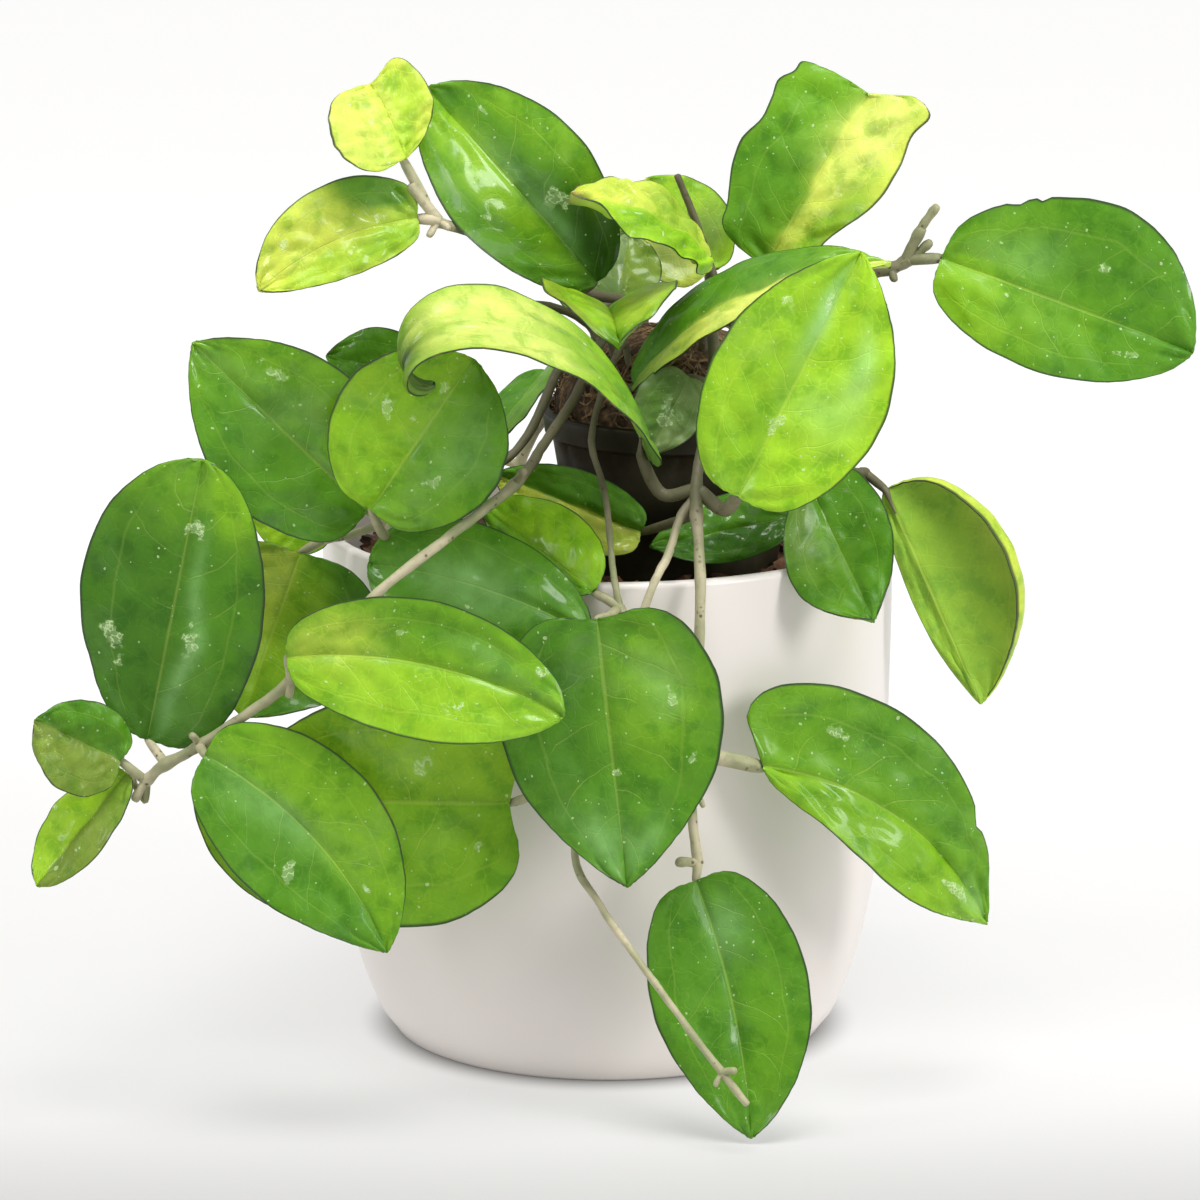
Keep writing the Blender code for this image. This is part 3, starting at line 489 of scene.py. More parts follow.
LOOKS = {
    "leaf_top_small": Look(
        "yellow", "yellow", base=("bright", 0.5), pucker=0.5, wave=0.8, notch=(0.5, 9),
        patches=(
            (-0.5, 0.5, 0.6, 0.5, "pale", 0.4), (0.5, 0.7, 0.3, 0.3, "bright", 0.5),
            (0.2, 0.3, 0.3, 0.2, "bright", 0.6),
        ),
        flecks=((-0.4, 0.5, 0.10),),
    ),
    "leaf_small_left": Look(
        "yellow", "yellow", base=("lime", 0.4), pucker=0.5, wave=0.8,
        patches=(
            (0.75, 0.22, 0.45, 0.22, "mid", 0.95), (-0.5, 0.2, 0.4, 0.2, "lime", 0.8),
            (-0.7, 0.6, 0.4, 0.3, "bright", 0.6),
        ),
        flecks=((0.5, 0.75, 0.08), (0.1, 0.2, 0.07)),
    ),
    "leaf_upper_left": Look(
        # Painted shadow: the deep green base and the deep patch by it on the right half stand in for the
        # shadow near the leaf's base.
        "fresh", "mid", base=("deep", 0.6), pucker=0.3,
        patches=(
            (0.6, 0.18, 0.5, 0.18, "deep", 0.9), (-0.3, 0.74, 0.35, 0.22, "bright", 0.55),
            (0.8, 0.65, 0.25, 0.3, "lime", 0.5), (-0.2, 0.45, 0.25, 0.2, "lime", 0.7),
            (-0.75, 0.45, 0.25, 0.35, "mid", 0.8), (0.15, 0.35, 0.2, 0.2, "dark", 0.6),
        ),
        flecks=((0.30, 0.36, 0.09), (-0.6, 0.5, 0.06), (0.4, 0.8, 0.05)),
        painted_sheen=((0.12, 0.35, 0.12, 0.3, 0.5),),
    ),
    "leaf_wrinkled": Look(
        "bright", "yellow", tip=("yellow", 0.6), pucker=0.9, wave=1.4,
        patches=(
            (-0.5, 0.5, 0.4, 0.3, "lime", 0.8), (0.5, 0.3, 0.5, 0.2, "fresh", 0.6),
            (0.0, 1.0, 0.9, 0.05, "brown", 0.7),
        ),
    ),
    "leaf_behind_pale": Look(
        "yellow", "bright", pucker=0.15, patches=((0.0, 0.3, 0.9, 0.2, "grey", 0.6),),
    ),
    "leaf_behind_grey": Look("grey", "olive", pucker=0.1, base=("dark", 0.5)),
    "leaf_top_right": Look(
        "fresh", "yellow", base=("mid", 0.5), pucker=0.5, wave=1.2, notch=(0, 6),
        patches=(
            (-0.6, 0.40, 0.4, 0.3, "mid", 0.8), (0.4, 0.75, 0.4, 0.3, "pale", 0.7),
            (0.3, 0.35, 0.25, 0.3, "yellow", 0.6), (0.8, 0.3, 0.3, 0.3, "lime", 0.8),
        ),
        outline=(
            (-1, 0.08, 0.08, 0.35), (-1, 0.84, 0.07, 0.12), (-1, 0.98, 0.06, 0.35),
            (-1, 0.63, 0.10, -0.10), (1, 0.30, 0.15, -0.20), (1, 0.97, 0.07, 0.40),
        ),
        flecks=((0.5, 0.5, 0.06), (-0.5, 0.7, 0.05)),
    ),
    "leaf_folded_front": Look(
        "lime", "bright", tip=("dark", 0.7), wave=1.0,
        patches=((-0.5, 0.5, 0.4, 0.3, "yellow", 0.5), (0.9, 0.5, 0.15, 0.4, "brown", 0.4)),
    ),
    "leaf_strap_right": Look(
        "mid", "yellow", base=("mid", 0.9), pucker=0.5, tip=("bright", 0.5),
        patches=((0.6, 0.65, 0.5, 0.3, "pale", 0.7), (-0.6, 0.5, 0.4, 0.3, "mid", 0.5)),
    ),
    "leaf_bright": Look(
        "lime", "bright", base=("lime", 0.3), pucker=0.4,
        patches=((-0.7, 0.5, 0.3, 0.4, "bright", 0.5), (0.6, 0.3, 0.4, 0.2, "bright", 0.6)),
        painted_sheen=((-0.1, 0.75, 0.14, 0.16, 0.8), (0.6, 0.62, 0.14, 0.14, 0.7), (0.4, 0.4, 0.3, 0.1, 0.4)),
        flecks=((0.0, 0.30, 0.08), (-0.1, 0.78, 0.05)),
    ),
    "leaf_far_right": Look(
        "mid", "mid", pucker=0.3, tip=("mid", 0.5),
        patches=(
            (-0.4, 0.15, 0.5, 0.2, "fresh", 0.7), (0.5, 0.15, 0.6, 0.22, "lime", 0.9),
            (-0.55, 0.5, 0.4, 0.2, "mid", 0.6), (0.4, 0.45, 0.4, 0.2, "fresh", 0.6),
        ),
        painted_sheen=((-0.35, 0.28, 0.2, 0.15, 0.25),),
        flecks=((0.45, 0.78, 0.10), (-0.45, 0.6, 0.06), (-0.2, 0.3, 0.04)),
        outline=((-1, 0.22, 0.020, -0.05), (-1, 0.30, 0.012, -0.05)),
    ),
    "leaf_arch": Look(
        "lime", "lime", base=("mid", 0.8), pucker=0.5, wave=0.8,
        patches=(
            (0.5, 0.6, 0.5, 0.2, "pale", 0.7), (-0.5, 0.6, 0.5, 0.2, "pale", 0.7),
            (0.0, 0.36, 0.9, 0.10, "fresh", 0.6), (0.0, 0.95, 0.9, 0.12, "deep", 0.9),
        ),
    ),
    "leaf_round_left": Look(
        "lime", "fresh", pucker=0.35, painted_sheen=((0.5, 0.5, 0.3, 0.25, 0.25),),
        patches=((0.7, 0.7, 0.4, 0.3, "mid", 0.8), (-0.5, 0.4, 0.4, 0.3, "lime", 0.6)),
        flecks=((-0.5, 0.55, 0.10), (0.5, 0.35, 0.08), (-0.1, 0.8, 0.07)),
    ),
    "leaf_big_left": Look(
        "mid", "fresh", tip=("fresh", 0.6), painted_sheen=((0.2, 0.5, 0.2, 0.4, 0.2),),
        patches=((-0.5, 0.4, 0.4, 0.3, "mid", 0.5),), flecks=((0.5, 0.7, 0.12),),
    ),
    "leaf_behind_left": Look("mid", "mid"),
    "leaf_leftmost": Look(
        "dark", "dark", tip=("fresh", 0.8), painted_sheen=((0.22, 0.35, 0.10, 0.35, 0.45),),
        patches=((0.5, 0.5, 0.4, 0.4, "mid", 0.6), (0.6, 0.88, 0.4, 0.1, "lime", 0.7)),
        flecks=((-0.6, 0.32, 0.09), (0.1, 0.75, 0.10), (0.15, 0.4, 0.07)),
    ),
    "leaf_pale_left": Look(
        # Painted shade: the middle green of the left half, and the patch on it, stand in for the shadow
        # over that half.
        "mid", "lime",
        patches=(
            (0.4, 0.3, 0.5, 0.4, "yellow", 0.8), (-0.75, 0.5, 0.4, 0.5, "mid", 0.8),
            (-0.2, 0.4, 0.25, 0.5, "bright", 0.6),
        ),
    ),
    "leaf_yellow_behind": Look("bright", "yellow"),
    "leaf_dark_mid": Look("mid", "mid", painted_sheen=((0.0, 0.55, 0.45, 0.25, 0.5),)),
    "leaf_pale_mid": Look("fresh", "lime"),
    "leaf_front_left": Look(
        "fresh", "lime", pucker=0.3, tip=("lime", 0.3), painted_sheen=((-0.4, 0.7, 0.2, 0.15, 0.25),),
        patches=(
            (-0.5, 0.45, 0.4, 0.25, "mid", 0.5), (0.5, 0.5, 0.5, 0.3, "bright", 0.5),
            (-0.3, 0.15, 0.5, 0.14, "yellow", 0.5),
        ),
        flecks=((-0.45, 0.38, 0.07), (0.5, 0.62, 0.07), (-0.5, 0.2, 0.04)),
    ),
    "leaf_heart": Look(
        "mid", "mid", pucker=0.35, base=("dark", 0.4),
        patches=((-0.45, 0.3, 0.4, 0.22, "lime", 0.5), (0.6, 0.4, 0.4, 0.35, "dark", 0.6)),
        painted_sheen=((0.4, 0.85, 0.3, 0.12, 0.5), (-0.4, 0.85, 0.3, 0.10, 0.4), (-0.5, 0.28, 0.2, 0.1, 0.3)),
        flecks=((-0.8, 0.55, 0.06), (-0.55, 0.3, 0.05), (0.0, 0.6, 0.04)),
    ),
    "leaf_low_left": Look(
        "fresh", "mid", painted_sheen=((0.15, 0.32, 0.25, 0.22, 0.4),),
        patches=((-0.5, 0.5, 0.5, 0.4, "lime", 0.4), (0.6, 0.3, 0.4, 0.3, "mid", 0.5)),
        flecks=((0.5, 0.55, 0.07), (-0.2, 0.75, 0.05)),
    ),
    "leaf_low_back": Look("bright", "lime", patches=((0.0, 0.8, 0.9, 0.2, "fresh", 0.6),)),
    "leaf_low_mid": Look(
        "fresh", "lime",
        patches=((0.6, 0.5, 0.5, 0.5, "bright", 0.4), (-0.4, 0.3, 0.5, 0.3, "lime", 0.6)),
        flecks=((-0.4, 0.45, 0.08), (0.4, 0.3, 0.06)),
    ),
    "leaf_end_upper": Look(
        "olive", "mid", pucker=0.3, wave=1.0, patches=((-0.5, 0.6, 0.5, 0.3, "olive", 0.6),),
    ),
    "leaf_end_lower": Look("olive", "bright", wave=1.0, pucker=0.2, base=("lime", 0.5)),
    "leaf_right": Look(
        "fresh", "lime", pucker=0.4, painted_sheen=((0.1, 0.9, 0.4, 0.08, 0.5),),
        patches=((-0.6, 0.5, 0.4, 0.3, "mid", 0.8), (0.4, 0.4, 0.5, 0.3, "fresh", 0.6)),
        outline=((-1, 0.72, 0.025, -0.12),), flecks=((-0.5, 0.25, 0.06), (0.3, 0.82, 0.10)),
    ),
    "leaf_bottom": Look(
        "mid", "mid", base=("dark", 0.4), painted_sheen=((-0.15, 0.20, 0.25, 0.12, 0.45),),
        patches=((-0.5, 0.7, 0.4, 0.2, "fresh", 0.5),), flecks=((0.3, 0.5, 0.05),),
    ),
    "leaf_rim_right": Look(
        "mid", "mid", patches=((0.5, 0.4, 0.5, 0.4, "fresh", 0.6), (0.6, 0.3, 0.3, 0.3, "grey", 0.5)),
        outline=((1, 0.12, 0.10, -0.2),),
    ),
    "leaf_drop_right": Look("bright", "bright", patches=((1.0, 0.4, 0.3, 0.5, "yellow", 0.8),)),
    "leaf_inner_left": Look("yellow", "mid"),
    "leaf_inner_mid": Look(
        "grey", "grey", flecks=((0.0, 0.5, 0.3),), patches=((0.5, 0.6, 0.4, 0.3, "mid", 0.6),),
    ),
    "leaf_inner_right": Look("dark", "mid"),
    "leaf_rear_high": Look("fresh", "mid"),
    "leaf_rear_right": Look("mid", "mid", flecks=((0.3, 0.4, 0.1),)),
    "leaf_rear_middle": Look("mid", "fresh", painted_sheen=((0.2, 0.4, 0.3, 0.3, 0.4),)),
    "leaf_rear_low": Look("dark", "mid", flecks=((-0.3, 0.6, 0.1),)),
    "leaf_rear_crown": Look("lime", "fresh"),
    "leaf_rear_inner": Look("fresh", "mid"),
    "leaf_rear_left": Look("mid", "fresh", flecks=((0.4, 0.6, 0.12),)),
    "leaf_rear_bottom": Look("mid", "dark", painted_sheen=((-0.2, 0.4, 0.3, 0.3, 0.4),)),
}


# ---------------------------------------------------------------- shader maths


class Wire:
    """A shader value. Arithmetic on it adds Math nodes, and add makes any other node."""

    def __init__(self, tree, socket=None):
        self.tree = tree
        self.socket = socket

    def add(self, kind, inputs=None, output=0, stops=None, **settings):
        """The output of a new node. Its settings come first, then the values or links of its sockets."""
        node = self.tree.nodes.new(kind)
        for key, value in settings.items():
            setattr(node, key, value)
        if stops:
            ramp = node.color_ramp
            while len(ramp.elements) < len(stops):
                ramp.elements.new(0.5)
            for element, (place, level) in zip(ramp.elements, stops):
                element.position = place
                element.color = (level, level, level, 1.0)
        for key, value in (inputs or {}).items():
            if isinstance(value, Wire):
                self.tree.links.new(value.socket, node.inputs[key])
            else:
                node.inputs[key].default_value = value
        return Wire(self.tree, node.outputs[output])

    def maths(self, operation, *values):
        return self.add("ShaderNodeMath", dict(enumerate(values)), operation=operation)

    def __add__(self, other):
        return self.maths("ADD", self, other)

    __radd__ = __add__

    def __sub__(self, other):
        return self.maths("SUBTRACT", self, other)

    def __rsub__(self, other):
        return self.maths("SUBTRACT", other, self)

    def __mul__(self, other):
        return self.maths("MULTIPLY", self, other)

    __rmul__ = __mul__

    def __pow__(self, other):
        return self.maths("POWER", self, other)

    def fraction(self):
        return self.maths("FRACT", self)

    def size(self):
        return self.maths("ABSOLUTE", self)

    def greatest(self, other):
        return self.maths("MAXIMUM", self, other)

    def rise(self, low, high):
        """0 below low, 1 above high, and smooth between. Low may be the larger, which turns it round."""
        sockets = {"Value": self, "From Min": low, "From Max": high}
        return self.add("ShaderNodeMapRange", sockets, interpolation_type="SMOOTHSTEP")

    def mix(self, first, second):
        """The colour first where this is 0, and second where it is 1."""
        return self.add("ShaderNodeMix", {0: self, 6: first, 7: second}, output=2, data_type="RGBA")

    def noise(self, vector, scale, detail=3.0, output=0):
        sockets = {"Vector": vector, "Scale": scale, "Detail": detail}
        return self.add("ShaderNodeTexNoise", sockets, output=output)

    def bump(self, strength, distance):
        """The normal of a surface that this value raises, by up to distance in metres."""
        sockets = {"Height": self, "Strength": strength, "Distance": distance}
        return self.add("ShaderNodeBump", sockets)

    def moved(self, place, shift, reach):
        """A place pushed along by up to reach, in metres, in the direction of shift."""
        sockets = {0: shift, 1: (reach,) * 3, 2: place}
        return self.add("ShaderNodeVectorMath", sockets, operation="MULTIPLY_ADD")

    def blended(self, share, first, second):
        """The colour first with a constant share of second in it."""
        return self.add("ShaderNodeMix", {0: share, 6: first, 7: second}, output=2, data_type="RGBA")

    def cells(self, vector, scale, feature="F1", output=0):
        sockets = {"Vector": vector, "Scale": scale}
        return self.add("ShaderNodeTexVoronoi", sockets, output=output, feature=feature)


def rgba(colour, level=1.0):
    return (*(channel * level for channel in colour), 1.0)


def new_material(name, roughness=0.5, coat=0.0):
    """(material, wire for making nodes, the material's Principled shader)."""
    made = bpy.data.materials.new(name)
    made.use_nodes = True
    shader = made.node_tree.nodes["Principled BSDF"]
    shader.inputs["Roughness"].default_value = roughness
    shader.inputs["Coat Weight"].default_value = coat
    shader.inputs["Coat Roughness"].default_value = 0.2
    return made, Wire(made.node_tree), shader


def join(shader, **values):
    """Links values to the shader's sockets, named with _ for a space."""
    for name, value in values.items():
        value.tree.links.new(value.socket, shader.inputs[name.replace("_", " ")])


def place_of(wire):
    return wire.add("ShaderNodeTexCoord", output=3)


# ---------------------------------------------------------------- materials


def glaze_material(pots):
    made, wire, shader = new_material("satin_glaze", 0.34, 0.15)
    place = place_of(wire)
    cloud = wire.noise(place, 14.0, 2.0)
    fine = wire.noise(place, 900.0, 2.0)
    join(shader, Base_Color=cloud.rise(0.3, 0.7).mix(rgba(pots.glaze, 0.985), rgba(pots.glaze, 1.01)))
    join(shader, Roughness=0.30 + cloud * 0.10)
    join(shader, Normal=fine.bump(0.05, 0.0002))
    return made


def bark_material(pots):
    made, wire, shader = new_material("bark", 0.85)
    place = place_of(wire)
    broad = wire.noise(place, 75.0, 2.0)
    grain = wire.noise(place, 420.0, 5.0)
    shade = (broad * 0.7 + grain * 0.5).rise(0.40, 0.85)
    red = wire.noise(place, 48.0, 1.0).rise(0.55, 0.7)
    light = red.mix(rgba(pots.bark_light), rgba(pots.bark_red))
    join(shader, Base_Color=shade.mix(rgba(pots.bark), light))
    join(shader, Roughness=0.70 + grain * 0.25)
    join(shader, Normal=grain.bump(0.9, 0.0008))
    return made


def plastic_material(pots):
    made, wire, shader = new_material("nursery_plastic", 0.5)
    shader.inputs["Specular IOR Level"].default_value = 0.2
    place = place_of(wire)
    grain = wire.noise(place, 700.0, 2.0)
    dust = wire.noise(place, 60.0, 4.0).rise(0.45, 0.75)
    join(shader, Base_Color=(dust * 0.5).mix(rgba(pots.plastic), rgba(pots.dust)))
    join(shader, Roughness=0.42 + dust * 0.3)
    join(shader, Normal=grain.bump(0.25, 0.0003))
    return made


def coir_material(pots, name, low, high):
    made, wire, shader = new_material(name, 0.9)
    place = place_of(wire)
    grain = wire.noise(place, 500.0, 5.0)
    broad = wire.noise(place, 90.0, 3.0)
    shade = (broad * 0.5 + grain * 0.5).rise(low, high)
    join(shader, Base_Color=shade.mix(rgba(pots.coir), rgba(pots.coir_light)))
    join(shader, Normal=grain.bump(1.0, 0.001))
    return made


def stem_material(vines, name, colour, other):
    made, wire, shader = new_material(name, 0.55)
    place = place_of(wire)
    broad = wire.noise(place, 70.0, 3.0)
    grain = wire.noise(place, 600.0, 4.0)
    dots = wire.cells(place, 480.0).rise(0.30, 0.16) * wire.noise(place, 160.0, 1.0).rise(0.50, 0.62)
    bark = broad.rise(0.35, 0.68).mix(rgba(colour), rgba(other))
    bark = (grain.rise(0.5, 0.75) * 0.35).mix(bark, rgba(colour, 0.55))
    # Darker towards the root ball's crown: partly old, dirty bark and partly painted shade near the crown.
    crown = (NURSERY_X * MM, 0.0, NURSERY_RIM_Z * MM)
    reach = wire.add("ShaderNodeVectorMath", {0: place, 1: crown}, output=1, operation="DISTANCE")
    bark = (reach.rise(0.100, 0.062) * 0.85).mix(bark, rgba(vines.stem_dark))
    join(shader, Base_Color=(dots * 0.85).mix(bark, rgba(vines.cork)))
    join(shader, Roughness=0.42 + grain * 0.3)
    height = grain * 0.6 - dots * 0.5
    join(shader, Normal=height.bump(0.6, 0.0004))
    return made


def blade_coordinates(wire):
    """(signed share across from -1 to 1, share along) of a blade, from its own map."""
    mapped = wire.add("ShaderNodeUVMap", uv_map="blade")
    across = wire.add("ShaderNodeSeparateXYZ", {0: mapped}, output=0)
    along = wire.add("ShaderNodeSeparateXYZ", {0: mapped}, output=1)
    return across * 2 - 1, along


def vein_masks(wire, place):
    """(midrib, side veins, net) of a leaf, each 0 to 1."""
    across, along = blade_coordinates(wire)
    lateral = across.size()
    drift = wire.noise(place, 60.0, 2.0) - 0.5
    midrib = (lateral + along * 0.012).rise(0.034, 0.010)
    stagger = across.rise(-0.001, 0.001) * 0.5
    curve = (along - (lateral**1.3) * 0.27 + drift * 0.13) * 5.5 + stagger
    broken = wire.noise(place, 85.0, 1.0).rise(0.36, 0.56)
    branch = (curve.fraction() - 0.5).size().rise(0.022, 0.004) * lateral.rise(0.84, 0.58) * broken
    ends = along.rise(0.02, 0.12) * along.rise(0.92, 0.72)
    loop = (lateral + drift * 0.16 - 0.66).size().rise(0.022, 0.004) * ends
    shift = wire.noise(place, 150.0, 2.0, output=1)
    bent = wire.moved(place, shift, 0.006)
    net = wire.cells(bent, 150.0, "DISTANCE_TO_EDGE").rise(0.045, 0.0)
    return midrib, branch.greatest(loop * 0.5), net


def speckle_masks(wire, place, fleck):
    """(small dots, ragged silvery splashes) of a leaf, each 0 to 1."""
    shift = wire.noise(place, 420.0, 2.0, output=1)
    ragged_place = wire.moved(place, shift, 0.0012)
    masks = []
    for scale, share, size in ((560.0, 0.68, 0.20), (190.0, 0.76, 0.13), (62.0, 0.72, 0.15)):
        gap = wire.cells(ragged_place, scale)
        luck = wire.add("ShaderNodeSeparateXYZ", {0: wire.cells(ragged_place, scale, output=1)}, output=0)
        masks.append((gap - (luck - share) * (size / (1 - share))).rise(0.02, -0.02))
    worms = (wire.noise(place, 520.0, 3.0) - 0.5).size().rise(0.055, 0.015)
    rough = wire.noise(place, 300.0, 8.0)
    splash = (fleck + rough * 1.1).rise(1.13, 1.22).greatest(masks[2] * rough.rise(0.48, 0.56))
    return masks[0].greatest(masks[1]), splash * (0.30 + worms * 0.70)


def tinted(wire, tint, factor, amount=1.0):
    """The tint multiplied by a colour."""
    sockets = {0: amount, 6: tint, 7: (*factor, 1.0)}
    return wire.add("ShaderNodeMix", sockets, output=2, data_type="RGBA", blend_type="MULTIPLY")


def leaf_material(leaves, name, under):
    """Waxy upper face, or the duller underside."""
    made, wire, shader = new_material(name, 0.3)
    shader.inputs["Specular IOR Level"].default_value = 0.22
    shader.inputs["Coat Roughness"].default_value = 0.11
    shader.inputs["Subsurface Weight"].default_value = 0.08
    shader.inputs["Subsurface Radius"].default_value = (0.5, 1.0, 0.15)
    shader.inputs["Subsurface Scale"].default_value = 0.0012
    place = place_of(wire)
    tint = wire.add("ShaderNodeAttribute", attribute_name="tint")
    # Painted sheen: how much pale highlight colour is painted at each point.
    painted_sheen = wire.add("ShaderNodeAttribute", output=2, attribute_name="painted_sheen")
    fleck = wire.add("ShaderNodeAttribute", output=2, attribute_name="fleck")
    across, _ = blade_coordinates(wire)
    midrib, branch, net = vein_masks(wire, place)
    dots, splash = speckle_masks(wire, place, fleck)
    mottle = wire.noise(place, 150.0, 7.0)
    fine = wire.noise(place, 900.0, 3.0)
    light = tinted(wire, tint, (1.50, 1.30, 1.4))
    colour = mottle.rise(0.50, 0.34).mix(tint, tinted(wire, tint, (0.68, 0.80, 0.6)))
    colour = (mottle.rise(0.50, 0.68) * 0.35).mix(colour, light)
    colour = (fine.rise(0.52, 0.70) * 0.30).mix(colour, light)
    colour = (net * 0.26).mix(colour, light)
    pale = wire.blended(0.30, light, rgba(leaves.pale, 0.8))
    colour = (branch * (0.6 if under else 0.42)).mix(colour, pale)
    colour = (midrib * (0.85 if under else 0.50)).mix(colour, pale)
    # Painted sheen: pale highlight colour, broken up by the mottle, mixed into the leaf's colour.
    colour = (painted_sheen * (0.15 + mottle * 1.0)).mix(colour, rgba(leaves.painted_sheen))
    if under:
        colour = wire.blended(0.30, colour, rgba(leaves.grey, 1.4))
    else:
        colour = (dots * 0.50).mix(colour, rgba(leaves.fleck))
        colour = (splash * 0.70).mix(colour, rgba(leaves.fleck))
        wet = wire.noise(place, 55.0, 3.0).rise(0.45, 0.65) + painted_sheen
        join(shader, Coat_Weight=0.06 + wet * 0.45)
    margin = across.size().rise(0.962, 0.990)
    join(shader, Base_Color=(margin * 0.90).mix(colour, rgba(leaves.margin)))
    join(shader, Roughness=(0.48 if under else 0.34) + fine * 0.10 + mottle * 0.10 + splash * 0.2)
    raised = mottle * 0.55 + fine * 0.16 + dots * 0.35 + splash * 0.35
    height = raised - branch * 0.25 - net * 0.12 - midrib * 0.4
    join(shader, Normal=height.bump(0.6, 0.0006))
    return made


def margin_material(leaves):
    made, wire, shader = new_material("leaf_margin", 0.45)
    worn = wire.noise(place_of(wire), 260.0, 3.0).rise(0.52, 0.66)
    join(shader, Base_Color=(worn * 0.7).mix(rgba(leaves.margin), rgba(leaves.brown)))
    return made


# ---------------------------------------------------------------- building helpers


def finish_piece(name, bm, materials, nodes, sharp=50):
    """A piece of the object from a bmesh in millimetres."""
    bmesh.ops.scale(bm, vec=(MM, MM, MM), verts=bm.verts)
    mesh = bpy.data.meshes.new(name)
    bm.to_mesh(mesh)
    bm.free()
    mesh.shade_smooth()
    mesh.set_sharp_from_angle(angle=math.radians(sharp))
    for item in materials:
        mesh.materials.append(item)
    piece = bpy.data.objects.new(name, mesh)
    bpy.context.scene.collection.objects.link(piece)
    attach(piece, BODY)
    if nodes:
        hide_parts(*nodes)
    return piece


def turn_profile(bm, profile, sides, centre_x=0.0):
    """Adds a closed body turned about the vertical through centre_x from (radius, height) points."""
    points = [bm.verts.new((radius, 0, height)) for radius, height in profile]
    edges = [bm.edges.new(pair) for pair in zip(points, points[1:])]
    bmesh.ops.spin(
        bm,
        geom=points + edges,
        axis=(0, 0, 1),
        cent=(0, 0, 0),
        steps=sides,
        angle=math.tau,
        use_merge=True,
    )
    bmesh.ops.remove_doubles(bm, verts=bm.verts, dist=1e-4)
    bmesh.ops.recalc_face_normals(bm, faces=bm.faces)
    bmesh.ops.translate(bm, verts=bm.verts, vec=(centre_x, 0, 0))


def rounded(corner_radius, centre, start, end, steps=5):
    """Points of an arc in a profile, with its angles in degrees."""
    across, up = centre
    points = []
    for step in range(steps + 1):
        angle = math.radians(start + (end - start) * step / steps)
        points.append((across + corner_radius * math.cos(angle), up + corner_radius * math.sin(angle)))
    return points


def smooth_route(points, per_span):
    """Points on a Catmull-Rom curve through the given points."""
    points = [Vector(point) for point in points]
    padded = [points[0] * 2 - points[1]] + points + [points[-1] * 2 - points[-2]]
    route = []
    for before, start, end, after in zip(padded, padded[1:], padded[2:], padded[3:]):
        for step in range(per_span):
            t = step / per_span
            route.append(
                0.5
                * (
                    2 * start
                    + (end - before) * t
                    + (2 * before - 5 * start + 4 * end - after) * t**2
                    + (3 * start - before - 3 * end + after) * t**3
                )
            )
    route.append(points[-1])
    return route


def ring_places(route, radii):
    """A matrix for each point of a route, which puts a unit circle round it."""
    places = []
    side = None
    for index, point in enumerate(route):
        ahead = route[min(index + 1, len(route) - 1)]
        behind = route[max(index - 1, 0)]
        heading = (ahead - behind).normalized()
        if side is None:
            side = heading.orthogonal()
        side = (side - heading * side.dot(heading)).normalized()
        turned = Matrix((side, heading.cross(side), heading)).transposed().to_4x4()
        places.append(Matrix.Translation(point) @ turned @ Matrix.Diagonal((radii[index],) * 3 + (1,)))
    return places


def add_tube(bm, route, radii, sides, material_index=0):
    """Adds a round tube with closed, slightly domed ends. A ring is extruded from place to place."""
    places = ring_places(route, radii)
    first, last = places[0], places[-1]
    places = [first @ Matrix.Translation((0, 0, -0.35)) @ Matrix.Scale(0.6, 4), *places]
    places.append(last @ Matrix.Translation((0, 0, 0.35)) @ Matrix.Scale(0.6, 4))
    tube = bmesh.new()
    ring = bmesh.ops.create_circle(tube, cap_ends=True, radius=1, segments=sides)["verts"]
    edges = tube.edges[:]
    bmesh.ops.transform(tube, matrix=places[0], verts=ring)
    for before, after in zip(places, places[1:]):
        grown = bmesh.ops.extrude_edge_only(tube, edges=edges)["geom"]
        ring = [item for item in grown if isinstance(item, bmesh.types.BMVert)]
        edges = [item for item in grown if isinstance(item, bmesh.types.BMEdge)]
        bmesh.ops.transform(tube, matrix=after @ before.inverted(), verts=ring)
    bmesh.ops.contextual_create(tube, geom=edges)
    bmesh.ops.recalc_face_normals(tube, faces=tube.faces)
    for face in tube.faces:
        face.material_index = material_index
    mesh = bpy.data.meshes.new("tube")
    tube.to_mesh(mesh)
    tube.free()
    bm.from_mesh(mesh)
    bpy.data.meshes.remove(mesh)


def hump(value, centre, size):
    return math.exp(-(((value - centre) / size) ** 2))


def smooth_step(low, high, value):
    share = min(1.0, max(0.0, (value - low) / (high - low)))
    return share * share * (3 - 2 * share)


# ---------------------------------------------------------------- pots and filling


def pot_radius(height):
    return POT_MOUTH_RADIUS - POT_FLARE * math.exp(-height / POT_FLARE_HEIGHT)


def nursery_radius(height):
    share = (height - NURSERY_FLOOR_Z) / (NURSERY_RIM_Z - NURSERY_FLOOR_Z)
    return NURSERY_FOOT_RADIUS + (NURSERY_RIM_RADIUS - NURSERY_FOOT_RADIUS) * share


